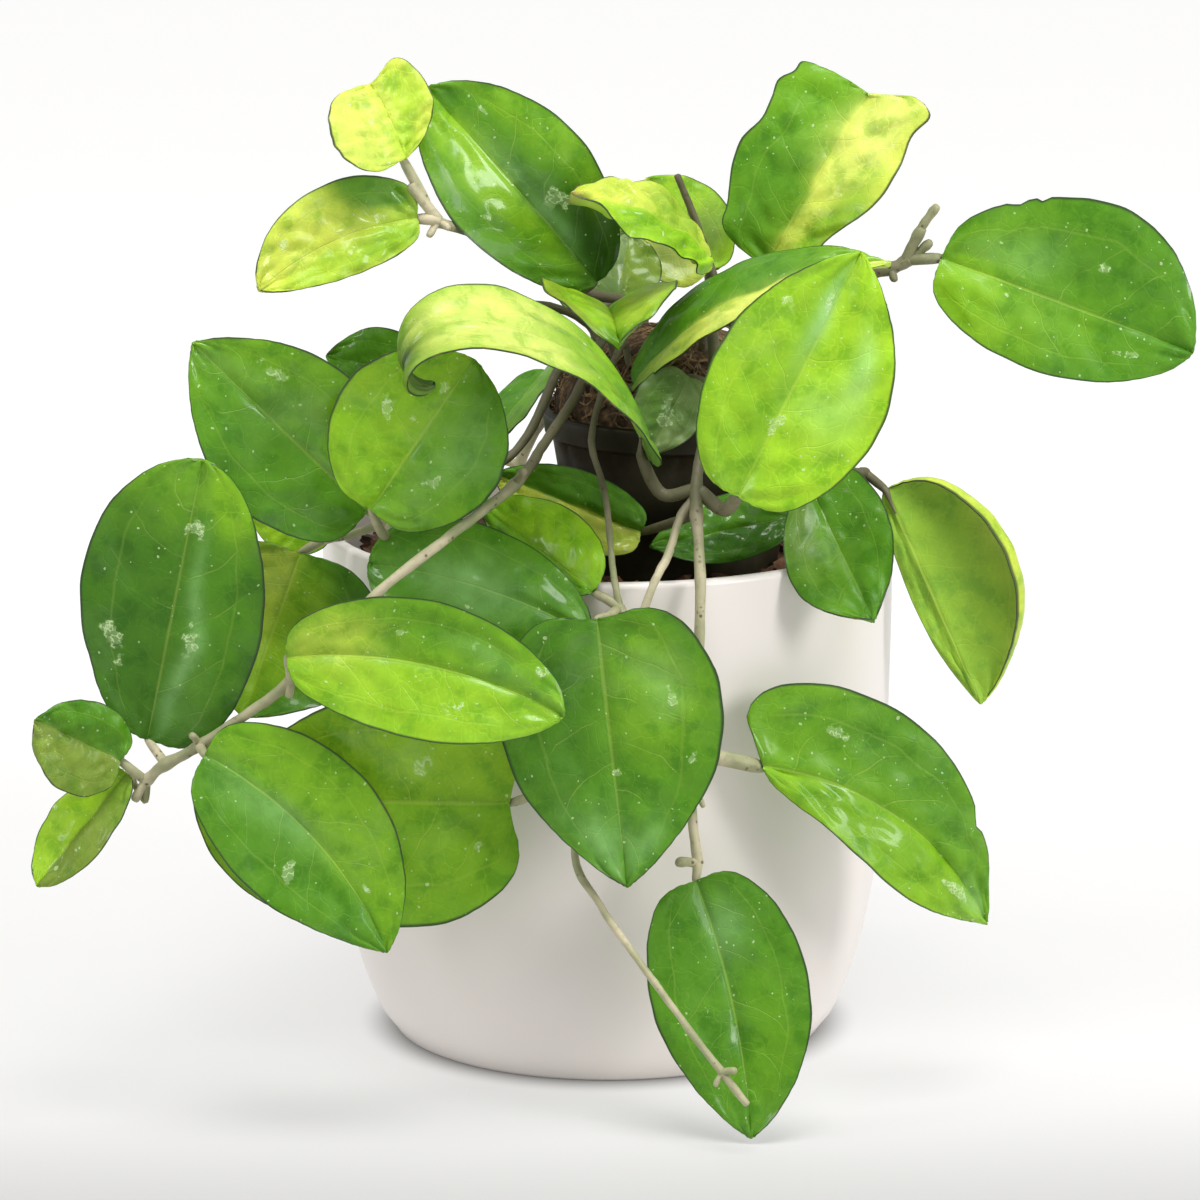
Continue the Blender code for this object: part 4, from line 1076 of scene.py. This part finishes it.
def build_cachepot(pots):
    """Glazed pot with a softly rounded lip and a ring under its foot."""
    height = pots.height / MM
    wall = pots.wall / MM
    steps = 40
    side = [2.5 + (height - POT_LIP - 2.5) * (step / steps) for step in range(steps + 1)]
    foot = pot_radius(0) - 1.5
    profile = [(0, 1.2), (foot - 9, 1.2), (foot - 7.5, 0.0), (foot - 1.5, 0.0)]
    profile += rounded(2.2, (foot - 0.9, 2.2), -80, -15)
    profile += [(pot_radius(z), z) for z in side[1:]]
    top = pot_radius(height - POT_LIP)
    profile += rounded(POT_LIP, (top - POT_LIP, height - POT_LIP), 10, 90)
    profile += rounded(POT_LIP, (top - wall + POT_LIP, height - POT_LIP), 90, 170)
    profile += [(pot_radius(z) - wall, z) for z in reversed(side[3:])]
    profile += [(pot_radius(6) - wall - 6, 6.0), (0, 6.0)]
    bm = bmesh.new()
    turn_profile(bm, profile, 160)
    finish_piece("glazed_cachepot", bm, [glaze_material(pots)], ["cachepot"])


def build_mulch(pots):
    """A dark bed with bark chips lying on it."""
    level = pots.mulch_top / MM
    draw = random.Random(11)
    bm = bmesh.new()
    inner = pot_radius(level) - pots.wall / MM - 0.6
    profile = [(0, level - 60), (inner - 1, level - 60), (inner, level - 2)]
    shares = (0.93, 0.85, 0.77, 0.69, 0.61, 0.53, 0.45, 0.3, 0.15, 0)
    profile += [(inner * share, level - 1) for share in shares]
    turn_profile(bm, profile, 96)
    for vert in bm.verts:
        if vert.co.z > level - 5:
            vert.co.z += 1.6 * noise.noise(vert.co * 0.12) - 0.4
    material = bark_material(pots)
    finish_piece("mulch_bed", bm, [material], ["bark_mulch"])
    bm = bmesh.new()
    blank = chip_blank()
    placed = 0
    while placed < pots.chips:
        angle = draw.uniform(0, math.tau)
        reach = inner * math.sqrt(draw.uniform(0.02, 0.93))
        spot = Vector((reach * math.cos(angle), reach * math.sin(angle), 0))
        size = Vector((draw.uniform(3.5, 10), draw.uniform(2, 5.5), draw.uniform(0.8, 2.4)))
        from_pot = (spot - Vector((NURSERY_X, 0, 0))).length - nursery_radius(level + 3)
        if from_pot < size.x * 0.5 or reach + size.x * 0.55 > inner:
            continue
        add_chip(bm, blank, draw, spot + Vector((0, 0, level + draw.uniform(-0.6, 3.0))), size)
        placed += 1
    bpy.data.meshes.remove(blank)
    finish_piece("mulch_chips", bm, [material], [], sharp=35)


def chip_blank():
    """A cube of 24 faces, which every chip is shaped from."""
    bm = bmesh.new()
    bmesh.ops.create_cube(bm, size=1)
    bmesh.ops.subdivide_edges(bm, edges=bm.edges, cuts=1, use_grid_fill=True)
    blank = bpy.data.meshes.new("chip_blank")
    bm.to_mesh(blank)
    bm.free()
    return blank


def add_chip(bm, blank, draw, spot, size):
    """One splintered chip of bark."""
    start = len(bm.verts)
    bm.from_mesh(blank)
    bm.verts.ensure_lookup_table()
    turn = Matrix.Rotation(draw.uniform(0, math.tau), 4, "Z")
    turn = turn @ Matrix.Rotation(draw.gauss(0, 0.35), 4, "X")
    turn = turn @ Matrix.Rotation(draw.gauss(0, 0.3), 4, "Y")
    for vert in bm.verts[start:]:
        taper = 1 - 0.35 * abs(vert.co.x) * draw.uniform(0.3, 1.6)
        ragged = Vector((draw.gauss(0, 0.07), draw.gauss(0, 0.09), draw.gauss(0, 0.10)))
        shaped = Vector((vert.co.x, vert.co.y * taper, vert.co.z * taper)) + ragged
        vert.co = spot + turn @ Vector((shaped.x * size.x, shaped.y * size.y, shaped.z * size.z))


def build_nursery_pot(pots):
    """Thin plastic pot with a rolled lip and faint ribs down its side."""
    wall = pots.nursery_wall / MM
    rim = NURSERY_RIM_Z
    floor = NURSERY_FLOOR_Z
    profile = [(0, floor), (nursery_radius(floor) - 1, floor), (nursery_radius(floor + 1), floor + 1)]
    profile += [(nursery_radius(z), z) for z in (120, 128, 136, 144, 152, 160, 166, rim - 8)]
    profile += [(nursery_radius(rim - 7) + 0.9, rim - 7.2), (nursery_radius(rim - 6) + 1.7, rim - 6.6)]
    profile += [(nursery_radius(rim - 3) + 1.7, rim - 3)]
    profile += rounded(0.7, (nursery_radius(rim) + 1.2, rim - 0.7), 0, 90)
    profile += [(nursery_radius(rim) - wall + 0.4, rim), (nursery_radius(rim) - wall, rim - 0.5)]
    profile += [(nursery_radius(z) - wall, z) for z in (166, 152, 136, floor + wall)]
    profile += [(0, floor + wall)]
    bm = bmesh.new()
    turn_profile(bm, profile, 120, NURSERY_X)
    for vert in bm.verts:
        if vert.co.z < rim - 8:
            angle = math.atan2(vert.co.y, vert.co.x - NURSERY_X)
            inward = Vector((NURSERY_X - vert.co.x, -vert.co.y, 0)).normalized()
            vert.co += inward * 0.5 * max(0.0, math.cos(angle * 12)) ** 6
    finish_piece("grower_pot", bm, [plastic_material(pots)], ["nursery_pot"])


def dome_point(angle, share, lift=0.0):
    """A point on the root ball's dome, share of the way from its top to its edge."""
    reach = CROWN_RADIUS * math.sin(math.pi / 2 * share)
    up = CROWN_HEIGHT * math.cos(math.pi / 2 * share)
    offset = Vector((reach * math.cos(angle), reach * math.sin(angle), up))
    return Vector((NURSERY_X, 0, NURSERY_RIM_Z)) + offset + offset.normalized() * lift


def build_root_ball(pots):
    """A lumpy dome of coir with loose fibres over it."""
    bm = bmesh.new()
    foot = NURSERY_FLOOR_Z + 2
    shoulder = NURSERY_RIM_Z - 1
    profile = [(0, foot), (nursery_radius(foot) - 2, foot), (nursery_radius(shoulder) - 2, shoulder)]
    steps = 22
    for step in range(1, steps + 1):
        point = dome_point(0, 1 - step / steps)
        profile.append((max(0.0, point.x - NURSERY_X), point.z))
    turn_profile(bm, profile, 110, NURSERY_X)
    for vert in bm.verts:
        if vert.co.z > NURSERY_RIM_Z:
            centre = Vector((NURSERY_X, 0, NURSERY_RIM_Z - 10))
            bumps = noise.noise(vert.co * 0.16) * 1.5 + noise.noise(vert.co * 0.5) * 0.9 - 1.0
            vert.co += (vert.co - centre).normalized() * bumps
    finish_piece("root_crown", bm, [coir_material(pots, "coir", 0.42, 0.75)], ["root_ball"])
    draw = random.Random(23)
    bm = bmesh.new()
    for _ in range(pots.fibres):
        angle = draw.uniform(0, math.tau)
        share = math.sqrt(draw.uniform(0.01, 1.0))
        lift = draw.uniform(-0.6, 0.8)
        heading = draw.uniform(0, math.tau)
        points = []
        for _ in range(6):
            points.append(dome_point(angle, min(1.0, max(0.02, share)), lift))
            heading += draw.gauss(0, 0.5)
            step = draw.uniform(0.04, 0.10)
            angle += step * math.cos(heading) / (0.15 + share)
            share += step * math.sin(heading)
            lift = min(1.8, max(-0.6, lift + draw.gauss(0, 0.45)))
        thick = draw.uniform(0.12, 0.34)
        route = smooth_route(points, 2)
        add_tube(bm, route, [thick] * len(route), 4)
    finish_piece("root_fibres", bm, [coir_material(pots, "coir_fibre", 0.30, 0.62)], [])


# ---------------------------------------------------------------- vines


def nearest(route, spot):
    """(index, distance) of the route's point that lies nearest to a spot."""
    gaps = [(point - Vector(spot)).length for point in route]
    return gaps.index(min(gaps)), min(gaps)


def joints_near(route, reach=4.0):
    """Places along a route, by index, where leaves grow."""
    found = []
    for leaf in LEAVES:
        index, gap = nearest(route, leaf.joint)
        if gap < reach:
            found.append(index)
    return found


def build_vine(vine, settings, finishes):
    route = smooth_route(vine.route, 9)
    lengths = [0.0]
    for start, end in zip(route, route[1:]):
        lengths.append(lengths[-1] + (end - start).length)
    swellings = [lengths[index] for index in joints_near(route)]
    swellings += [lengths[nearest(route, foot)[0]] for foot, _, _ in vine.stubs]
    radii = []
    for length in lengths:
        share = length / lengths[-1]
        radius = vine.start_radius + (vine.end_radius - vine.start_radius) * share
        grow = max([hump(length, place, 2.6) for place in swellings] or [0.0])
        radii.append(radius * (1 + 0.30 * grow + 0.05 * math.sin(length * 0.35)))
    bm = bmesh.new()
    add_tube(bm, route, radii, settings.sides)
    for foot, tip, radius in vine.stubs:
        stub = smooth_route([foot, (Vector(foot) + Vector(tip)) / 2 + Vector((0, 0, 0.4)), tip], 5)
        sizes = []
        for index in range(len(stub)):
            knob = 0.2 * hump(index, len(stub) - 3, 2)
            sizes.append(radius * (1.0 - 0.25 * index / len(stub) + knob))
        add_tube(bm, stub, sizes, 10)
    for vert in bm.verts:
        vert.co += vert.normal * 0.22 * noise.noise(vert.co * 0.45)
    finish_piece(vine.name + "_stem", bm, [finishes[vine.finish]], [vine.name])


# ---------------------------------------------------------------- leaves


def leaf_stations(leaf, count):
    """Frames (point, along, side, up) at even steps down the midrib, from its base to its tip."""
    base, tip = Vector(leaf.base), Vector(leaf.tip)
    along = (tip - base).normalized()
    side = along.cross(Vector(leaf.face)).normalized()
    up = side.cross(along)
    place = Vector()
    frames = []
    for index in range(count + 1):
        t = index / count
        late = max(0.0, (t - 0.6) / 0.4)
        pitch = math.radians(leaf.bend * (0.5 - t) - leaf.curl * late**2)
        yaw = math.radians(leaf.sweep * (0.5 - t))
        heading = Vector((math.cos(pitch) * math.cos(yaw), math.sin(yaw), math.sin(pitch))).normalized()
        normal = Vector((-math.sin(pitch), 0, math.cos(pitch)))
        across = normal.cross(heading).normalized()
        frames.append((place.copy(), heading, across, heading.cross(across)))
        place = place + heading / count
    chord = frames[-1][0]
    scale = (tip - base).length / chord.length
    straighten = chord.rotation_difference(Vector((1, 0, 0))).to_matrix()
    to_world = Matrix((along, side, up)).transposed() @ straighten
    return [
        (base + to_world @ (place * scale), to_world @ heading, to_world @ across, to_world @ normal)
        for place, heading, across, normal in frames
    ]


def half_width_share(leaf, hand, t):
    """A half's width at t, as a share of its greatest."""
    warp = math.log(0.5) / math.log(leaf.belly[hand])
    power = 0.46 + (leaf.point - 0.46) * t
    return max(0.0, math.sin(math.pi * t**warp)) ** power


def fold(leaf, s):
    """(reach, rise) of the blade's section at s across, as shares of the half width."""
    hand = 1 if s > 0 else 0
    steps = 8
    reach = rise = 0.0
    for step in range(steps):
        part = abs(s) * (step + 0.5) / steps
        angle = math.radians(leaf.lift[hand] + leaf.roll[hand] * part**4)
        reach += math.cos(angle) * abs(s) / steps
        rise += math.sin(angle) * abs(s) / steps
    return reach, rise


class Blade:
    """Where each point of one leaf's blade lies, and how it is tinted."""

    def __init__(self, leaf, look, palette, seed):
        self.leaf = leaf
        self.look = look
        self.palette = palette
        self.seed = seed
        self.fine = 240
        self.stations = leaf_stations(leaf, self.fine)
        self.folds = {}

    def half_width(self, s, t):
        leaf = self.leaf
        hand = 1 if s > 0 else 0
        width = (leaf.left, leaf.right)[hand] * half_width_share(leaf, hand, t)
        ripple = 0.02 * noise.noise(Vector((t * 9, self.seed * 3.1, 5.0 if s > 0 else 0.0)))
        added = ripple
        for side, place, size, share in self.look.outline:
            if side * s > 0:
                added += share * hump(t, place, size)
        return width * (1 + added)

    def relief(self, s, t, y):
        """Height of the small shapes above the blade's smooth section."""
        look = self.look
        swell = math.cos(math.tau * ((t - 0.27 * abs(s) ** 1.3) * 6.5 + (0.5 if s > 0 else 0.0)))
        swell *= -look.pucker * smooth_step(0.05, 0.3, abs(s)) * smooth_step(1.0, 0.75, abs(s))
        spot = Vector((s * 1.3, t * 3.2, self.seed * 7.7))
        swell *= 0.55 + 0.9 * noise.noise(spot * 1.7 + Vector((3, 8, 2)))
        broad = noise.noise(spot) * 1.6 * smooth_step(0.0, 0.25, abs(s))
        crumple = noise.noise(spot * 3.1) * look.pucker * 1.9
        along_edge = Vector((t * 6.0, self.seed * 2.3, 9.0 if s > 0 else 0.0))
        edge = look.wave * abs(s) ** 3 * noise.noise(along_edge) * 2
        groove = -look.crease * math.exp(-((y / 1.1) ** 2))
        fade = smooth_step(0.0, 0.08, t)
        return (swell + broad + crumple + edge) * fade + groove

    def point(self, s, t):
        place, along, side, up = self.stations[round(t * self.fine)]
        if s not in self.folds:
            self.folds[s] = fold(self.leaf, s)
        reach, rise = self.folds[s]
        width = self.half_width(s, t)
        y = reach * width
        lobe = 1 - math.exp(-((y / (0.35 * max(self.leaf.left, self.leaf.right))) ** 2))
        back = lobe * (self.leaf.heart * (1 - t) ** 3 - self.look.notch[1 if s > 0 else 0] * t**5)
        height = rise * width + self.relief(s, t, y)
        return place + side * math.copysign(y, s) + up * height - along * back

    def tint(self, s, t):
        """(colour, painted sheen, fleck) at a point."""
        look = self.look
        warp = Vector((s * 2.0, t * 4.0, self.seed))
        s += 0.16 * noise.noise(warp)
        t += 0.07 * noise.noise(warp + Vector((7, 3, 1)))
        colour = self.palette[look.left].lerp(self.palette[look.right], smooth_step(-0.06, 0.06, s))
        colour = colour.lerp(self.palette[look.base[0]], look.base[1] * smooth_step(0.45, 0.0, t))
        colour = colour.lerp(self.palette[look.tip[0]], look.tip[1] * smooth_step(0.6, 1.0, t))
        for across, along, wide, tall, name, amount in look.patches:
            share = amount * min(1.0, 1.6 * hump(s, across, wide) * hump(t, along, tall))
            colour = colour.lerp(self.palette[name], share)
        # Painted sheen: the pale highlight patches that the look lists.
        painted_sheen = 0.0
        for across, along, wide, tall, amount in look.painted_sheen:
            painted_sheen += amount * hump(s, across, wide) * hump(t, along, tall)
        fleck = 0.0
        for across, along, size in look.flecks:
            fleck = max(fleck, hump(s, across, size * 2.2) * hump(t, along, size))
        return colour, min(1.0, painted_sheen), 0.75 * fleck


def blade_mesh(blade, settings):
    """The blade's shell, thinner at its margin, as a mesh in millimetres with its map and tints."""
    bm = bmesh.new()
    bmesh.ops.create_grid(bm, x_segments=settings.columns, y_segments=settings.rows, size=1)
    tint = bm.verts.layers.float_color.new("tint")
    # Painted sheen: the amount of painted highlight at each point.
    painted_sheen = bm.verts.layers.float.new("painted_sheen")
    fleck = bm.verts.layers.float.new("fleck")
    weight = bm.verts.layers.deform.verify()
    mapped = bm.loops.layers.uv.new("blade")
    shares = {}
    for vert in bm.verts:
        s = round(vert.co.x, 5)
        t = 0.5 - 0.5 * math.cos(math.pi * min(1.0, max(0.0, (vert.co.y + 1) / 2)))
        shares[vert.index] = (s, t)
        colour, painted_sheen_here, fleck_here = blade.tint(s, t)
        vert[tint] = (*colour, 1.0)
        vert[painted_sheen] = painted_sheen_here
        vert[fleck] = fleck_here
        vert[weight][0] = 1.0 - 0.6 * smooth_step(0.8, 1.0, abs(s))
        vert.co = blade.point(s, t)
    for face in bm.faces:
        for loop in face.loops:
            s, t = shares[loop.vert.index]
            loop[mapped].uv = (0.5 + 0.5 * s, t)
    bmesh.ops.remove_doubles(bm, verts=bm.verts, dist=0.004)
    mesh = bpy.data.meshes.new("blade")
    bm.to_mesh(mesh)
    bm.free()
    shell = bpy.data.objects.new("blade", mesh)
    shell.vertex_groups.new(name="thick")
    for _ in range(3):
        mesh.materials.append(None)
    bpy.context.scene.collection.objects.link(shell)
    solid = shell.modifiers.new("thickness", "SOLIDIFY")
    solid.thickness = settings.thickness / MM
    solid.offset = 0.0
    solid.vertex_group = "thick"
    solid.thickness_vertex_group = 0.0
    solid.material_offset = 1
    solid.material_offset_rim = 2
    shaped = bpy.data.meshes.new_from_object(shell.evaluated_get(bpy.context.evaluated_depsgraph_get()))
    bpy.data.objects.remove(shell)
    return shaped


def add_stalk(bm, leaf, station):
    """The stalk from the vine to the blade, which runs on a little under the midrib."""
    joint, base = Vector(leaf.joint), Vector(leaf.base)
    _, along, _, up = station
    turns = [Vector(point) for point in leaf.via] or [(joint + base) / 2]
    behind = leaf.stalk + 0.7
    under = [base - up * behind, base + along * 3 - up * behind, base + along * 7 - up * 1.3]
    route = smooth_route([joint, *turns, *under], 6)
    radii = []
    for index in range(len(route)):
        share = index / (len(route) - 1)
        reach = (route[index] - base).dot(along)
        thin = smooth_step(-3.0, 6.0, reach)
        radii.append(leaf.stalk * (1.12 - 0.12 * share) * (1 - 0.72 * thin))
    add_tube(bm, route, radii, 12, material_index=3)


def build_leaf(leaf, look, palette, seed, settings, materials):
    blade = Blade(leaf, look, palette, seed)
    bm = bmesh.new()
    shaped = blade_mesh(blade, settings)
    bm.from_mesh(shaped)
    bpy.data.meshes.remove(shaped)
    add_stalk(bm, leaf, blade.stations[0])
    finish_piece(leaf.name + "_blade", bm, materials, [leaf.name], sharp=60)


# ---------------------------------------------------------------- stage


def add_panel(name, place, aim, size, power):
    """A soft square light that looks at a point."""
    light = bpy.data.lights.new(name, "AREA")
    light.shape = "RECTANGLE"
    light.size, light.size_y = size
    light.energy = power
    lamp = bpy.data.objects.new(name, light)
    lamp.location = place
    lamp.rotation_euler = (Vector(aim) - Vector(place)).to_track_quat("-Z", "Y").to_euler()
    bpy.context.scene.collection.objects.link(lamp)


def build_stage(stage):
    bm = bmesh.new()
    bmesh.ops.create_grid(bm, x_segments=1, y_segments=1, size=8)
    mesh = bpy.data.meshes.new("floor")
    bm.to_mesh(mesh)
    bm.free()
    floor = bpy.data.objects.new("floor", mesh)
    made, wire, shader = new_material("pale_floor", 0.8)
    shader.inputs["Base Color"].default_value = rgba(stage.floor)
    shader.inputs["Specular IOR Level"].default_value = 0.1
    shader.inputs["Emission Strength"].default_value = stage.floor_glow
    place = place_of(wire)
    reach = wire.add("ShaderNodeVectorMath", {0: place}, output=1, operation="LENGTH")
    depth = wire.add("ShaderNodeSeparateXYZ", {0: place}, output=1)
    # Painted light: the floor glows, dimmest just in front of the pot and brighter behind it and far off.
    # The glow fades to nothing in a thin ring round the pot's foot, which is a painted contact shadow.
    glow = 0.22 + depth.rise(-0.22, -0.02) * 0.36 + depth.rise(0.0, 0.7) * 0.22
    glow = glow.greatest(reach.rise(0.32, 1.0) * 0.8) * reach.rise(0.056, 0.072)
    join(shader, Emission_Color=glow.mix((0.0, 0.0, 0.0, 1.0), (1.0, 0.995, 0.990, 1.0)))
    mesh.materials.append(made)
    bpy.context.scene.collection.objects.link(floor)
    world = bpy.data.worlds.new("white_surround")
    world.use_nodes = True
    backdrop = world.node_tree.nodes["Background"]
    backdrop.inputs["Color"].default_value = (1.0, 1.0, 1.0, 1.0)
    wire = Wire(world.node_tree)
    seen = wire.add("ShaderNodeLightPath")
    strength = stage.sky_strength + seen * (1 - stage.sky_strength)
    world.node_tree.links.new(strength.socket, backdrop.inputs["Strength"])
    bpy.context.scene.world = world
    middle = (0, 0, 0.15)
    add_panel("overhead_panel", (0.1, -0.35, 1.35), middle, (0.75, 0.6), stage.key_power)
    add_panel("left_panel", (-1.2, -0.7, 0.75), middle, (0.35, 0.6), stage.fill_power)
    add_panel("right_panel", (1.1, -0.9, 0.7), middle, (0.35, 0.6), stage.fill_power * 2.4)
    bpy.context.scene.view_settings.view_transform = "Standard"


def build_camera():
    data = bpy.data.cameras.new("camera")
    data.lens = CAMERA_LENS
    camera = bpy.data.objects.new("camera", data)
    tilt = math.radians(CAMERA_TILT)
    offset = Vector((0, -math.cos(tilt), math.sin(tilt))) * CAMERA_DISTANCE
    camera.location = Vector(CAMERA_AIM) + offset
    camera.rotation_euler = (math.pi / 2 - tilt, 0, 0)
    bpy.context.scene.collection.objects.link(camera)
    bpy.context.scene.camera = camera


# ---------------------------------------------------------------- operators and panel


class WAXPLANT_OT_stage(bpy.types.Operator):
    """Set up the floor, the lights and the camera"""

    bl_idname = "waxplant.stage"
    bl_label = "Stage"

    def execute(self, context):
        build_stage(context.scene.waxplant_stage)
        build_camera()
        return {"FINISHED"}


class WAXPLANT_OT_cachepot(bpy.types.Operator):
    """Build the glazed pot"""

    bl_idname = "waxplant.cachepot"
    bl_label = "Glazed pot"

    def execute(self, context):
        build_cachepot(context.scene.waxplant_pots)
        return {"FINISHED"}


class WAXPLANT_OT_mulch(bpy.types.Operator):
    """Fill the glazed pot with bark chips"""

    bl_idname = "waxplant.mulch"
    bl_label = "Bark chips"

    def execute(self, context):
        build_mulch(context.scene.waxplant_pots)
        return {"FINISHED"}


class WAXPLANT_OT_nursery_pot(bpy.types.Operator):
    """Build the thin pot that the plant grows in"""

    bl_idname = "waxplant.nursery_pot"
    bl_label = "Nursery pot"

    def execute(self, context):
        build_nursery_pot(context.scene.waxplant_pots)
        return {"FINISHED"}


class WAXPLANT_OT_root_ball(bpy.types.Operator):
    """Build the root ball and its fibres"""

    bl_idname = "waxplant.root_ball"
    bl_label = "Root ball"

    def execute(self, context):
        build_root_ball(context.scene.waxplant_pots)
        return {"FINISHED"}


class WAXPLANT_OT_vines(bpy.types.Operator):
    """Grow the vines with their nodes and side growths"""

    bl_idname = "waxplant.vines"
    bl_label = "Vines"

    def execute(self, context):
        settings = context.scene.waxplant_vines
        finishes = {
            "stem_bark": stem_material(settings, "stem_bark", settings.stem, settings.stem_pale),
            "straw_bark": stem_material(settings, "straw_bark", settings.stem_pale, settings.stem),
            "green_bark": stem_material(settings, "green_bark", settings.stem_green, settings.stem),
            "dark_bark": stem_material(settings, "dark_bark", settings.stem_dark, settings.stem_pale),
        }
        for vine in VINES:
            build_vine(vine, settings, finishes)
        return {"FINISHED"}


class WAXPLANT_OT_leaves(bpy.types.Operator):
    """Grow the leaves on their stalks"""

    bl_idname = "waxplant.leaves"
    bl_label = "Leaves"

    def execute(self, context):
        settings = context.scene.waxplant_leaves
        vines = context.scene.waxplant_vines
        palette = {name: Vector(getattr(settings, name)) for name in TINTS}
        materials = [
            leaf_material(settings, "leaf_upper", under=False),
            leaf_material(settings, "leaf_under", under=True),
            margin_material(settings),
            stem_material(vines, "stalk", vines.stem, vines.stem_pale),
        ]
        for seed, leaf in enumerate(LEAVES):
            build_leaf(leaf, LOOKS[leaf.name], palette, seed + 1, settings, materials)
        return {"FINISHED"}


OPERATORS = (
    WAXPLANT_OT_stage,
    WAXPLANT_OT_cachepot,
    WAXPLANT_OT_mulch,
    WAXPLANT_OT_nursery_pot,
    WAXPLANT_OT_root_ball,
    WAXPLANT_OT_vines,
    WAXPLANT_OT_leaves,
)

SETTINGS = {
    "waxplant_pots": PotSettings,
    "waxplant_leaves": LeafSettings,
    "waxplant_vines": VineSettings,
    "waxplant_stage": StageSettings,
}


class WAXPLANT_PT_panel(bpy.types.Panel):
    """Lists the pieces of the plant"""

    bl_idname = "WAXPLANT_PT_panel"
    bl_label = "Wax plant"
    bl_space_type = "VIEW_3D"
    bl_region_type = "UI"
    bl_category = "Plant"

    def draw(self, context):
        for operator in OPERATORS:
            self.layout.operator(operator.bl_idname)
        for name, group in SETTINGS.items():
            box = self.layout.box()
            for key in group.__annotations__:
                box.prop(getattr(context.scene, name), key)


def register():
    for item in (*SETTINGS.values(), *OPERATORS, WAXPLANT_PT_panel):
        bpy.utils.register_class(item)
    for name, group in SETTINGS.items():
        setattr(bpy.types.Scene, name, PointerProperty(type=group))


def unregister():
    for name in SETTINGS:
        delattr(bpy.types.Scene, name)
    for item in (WAXPLANT_PT_panel, *reversed(OPERATORS), *SETTINGS.values()):
        bpy.utils.unregister_class(item)


def main():
    register()
    bpy.ops.waxplant.stage()
    bpy.ops.waxplant.cachepot()
    bpy.ops.waxplant.mulch()
    bpy.ops.waxplant.nursery_pot()
    bpy.ops.waxplant.root_ball()
    bpy.ops.waxplant.vines()
    bpy.ops.waxplant.leaves()


if __name__ == "__main__":
    main()
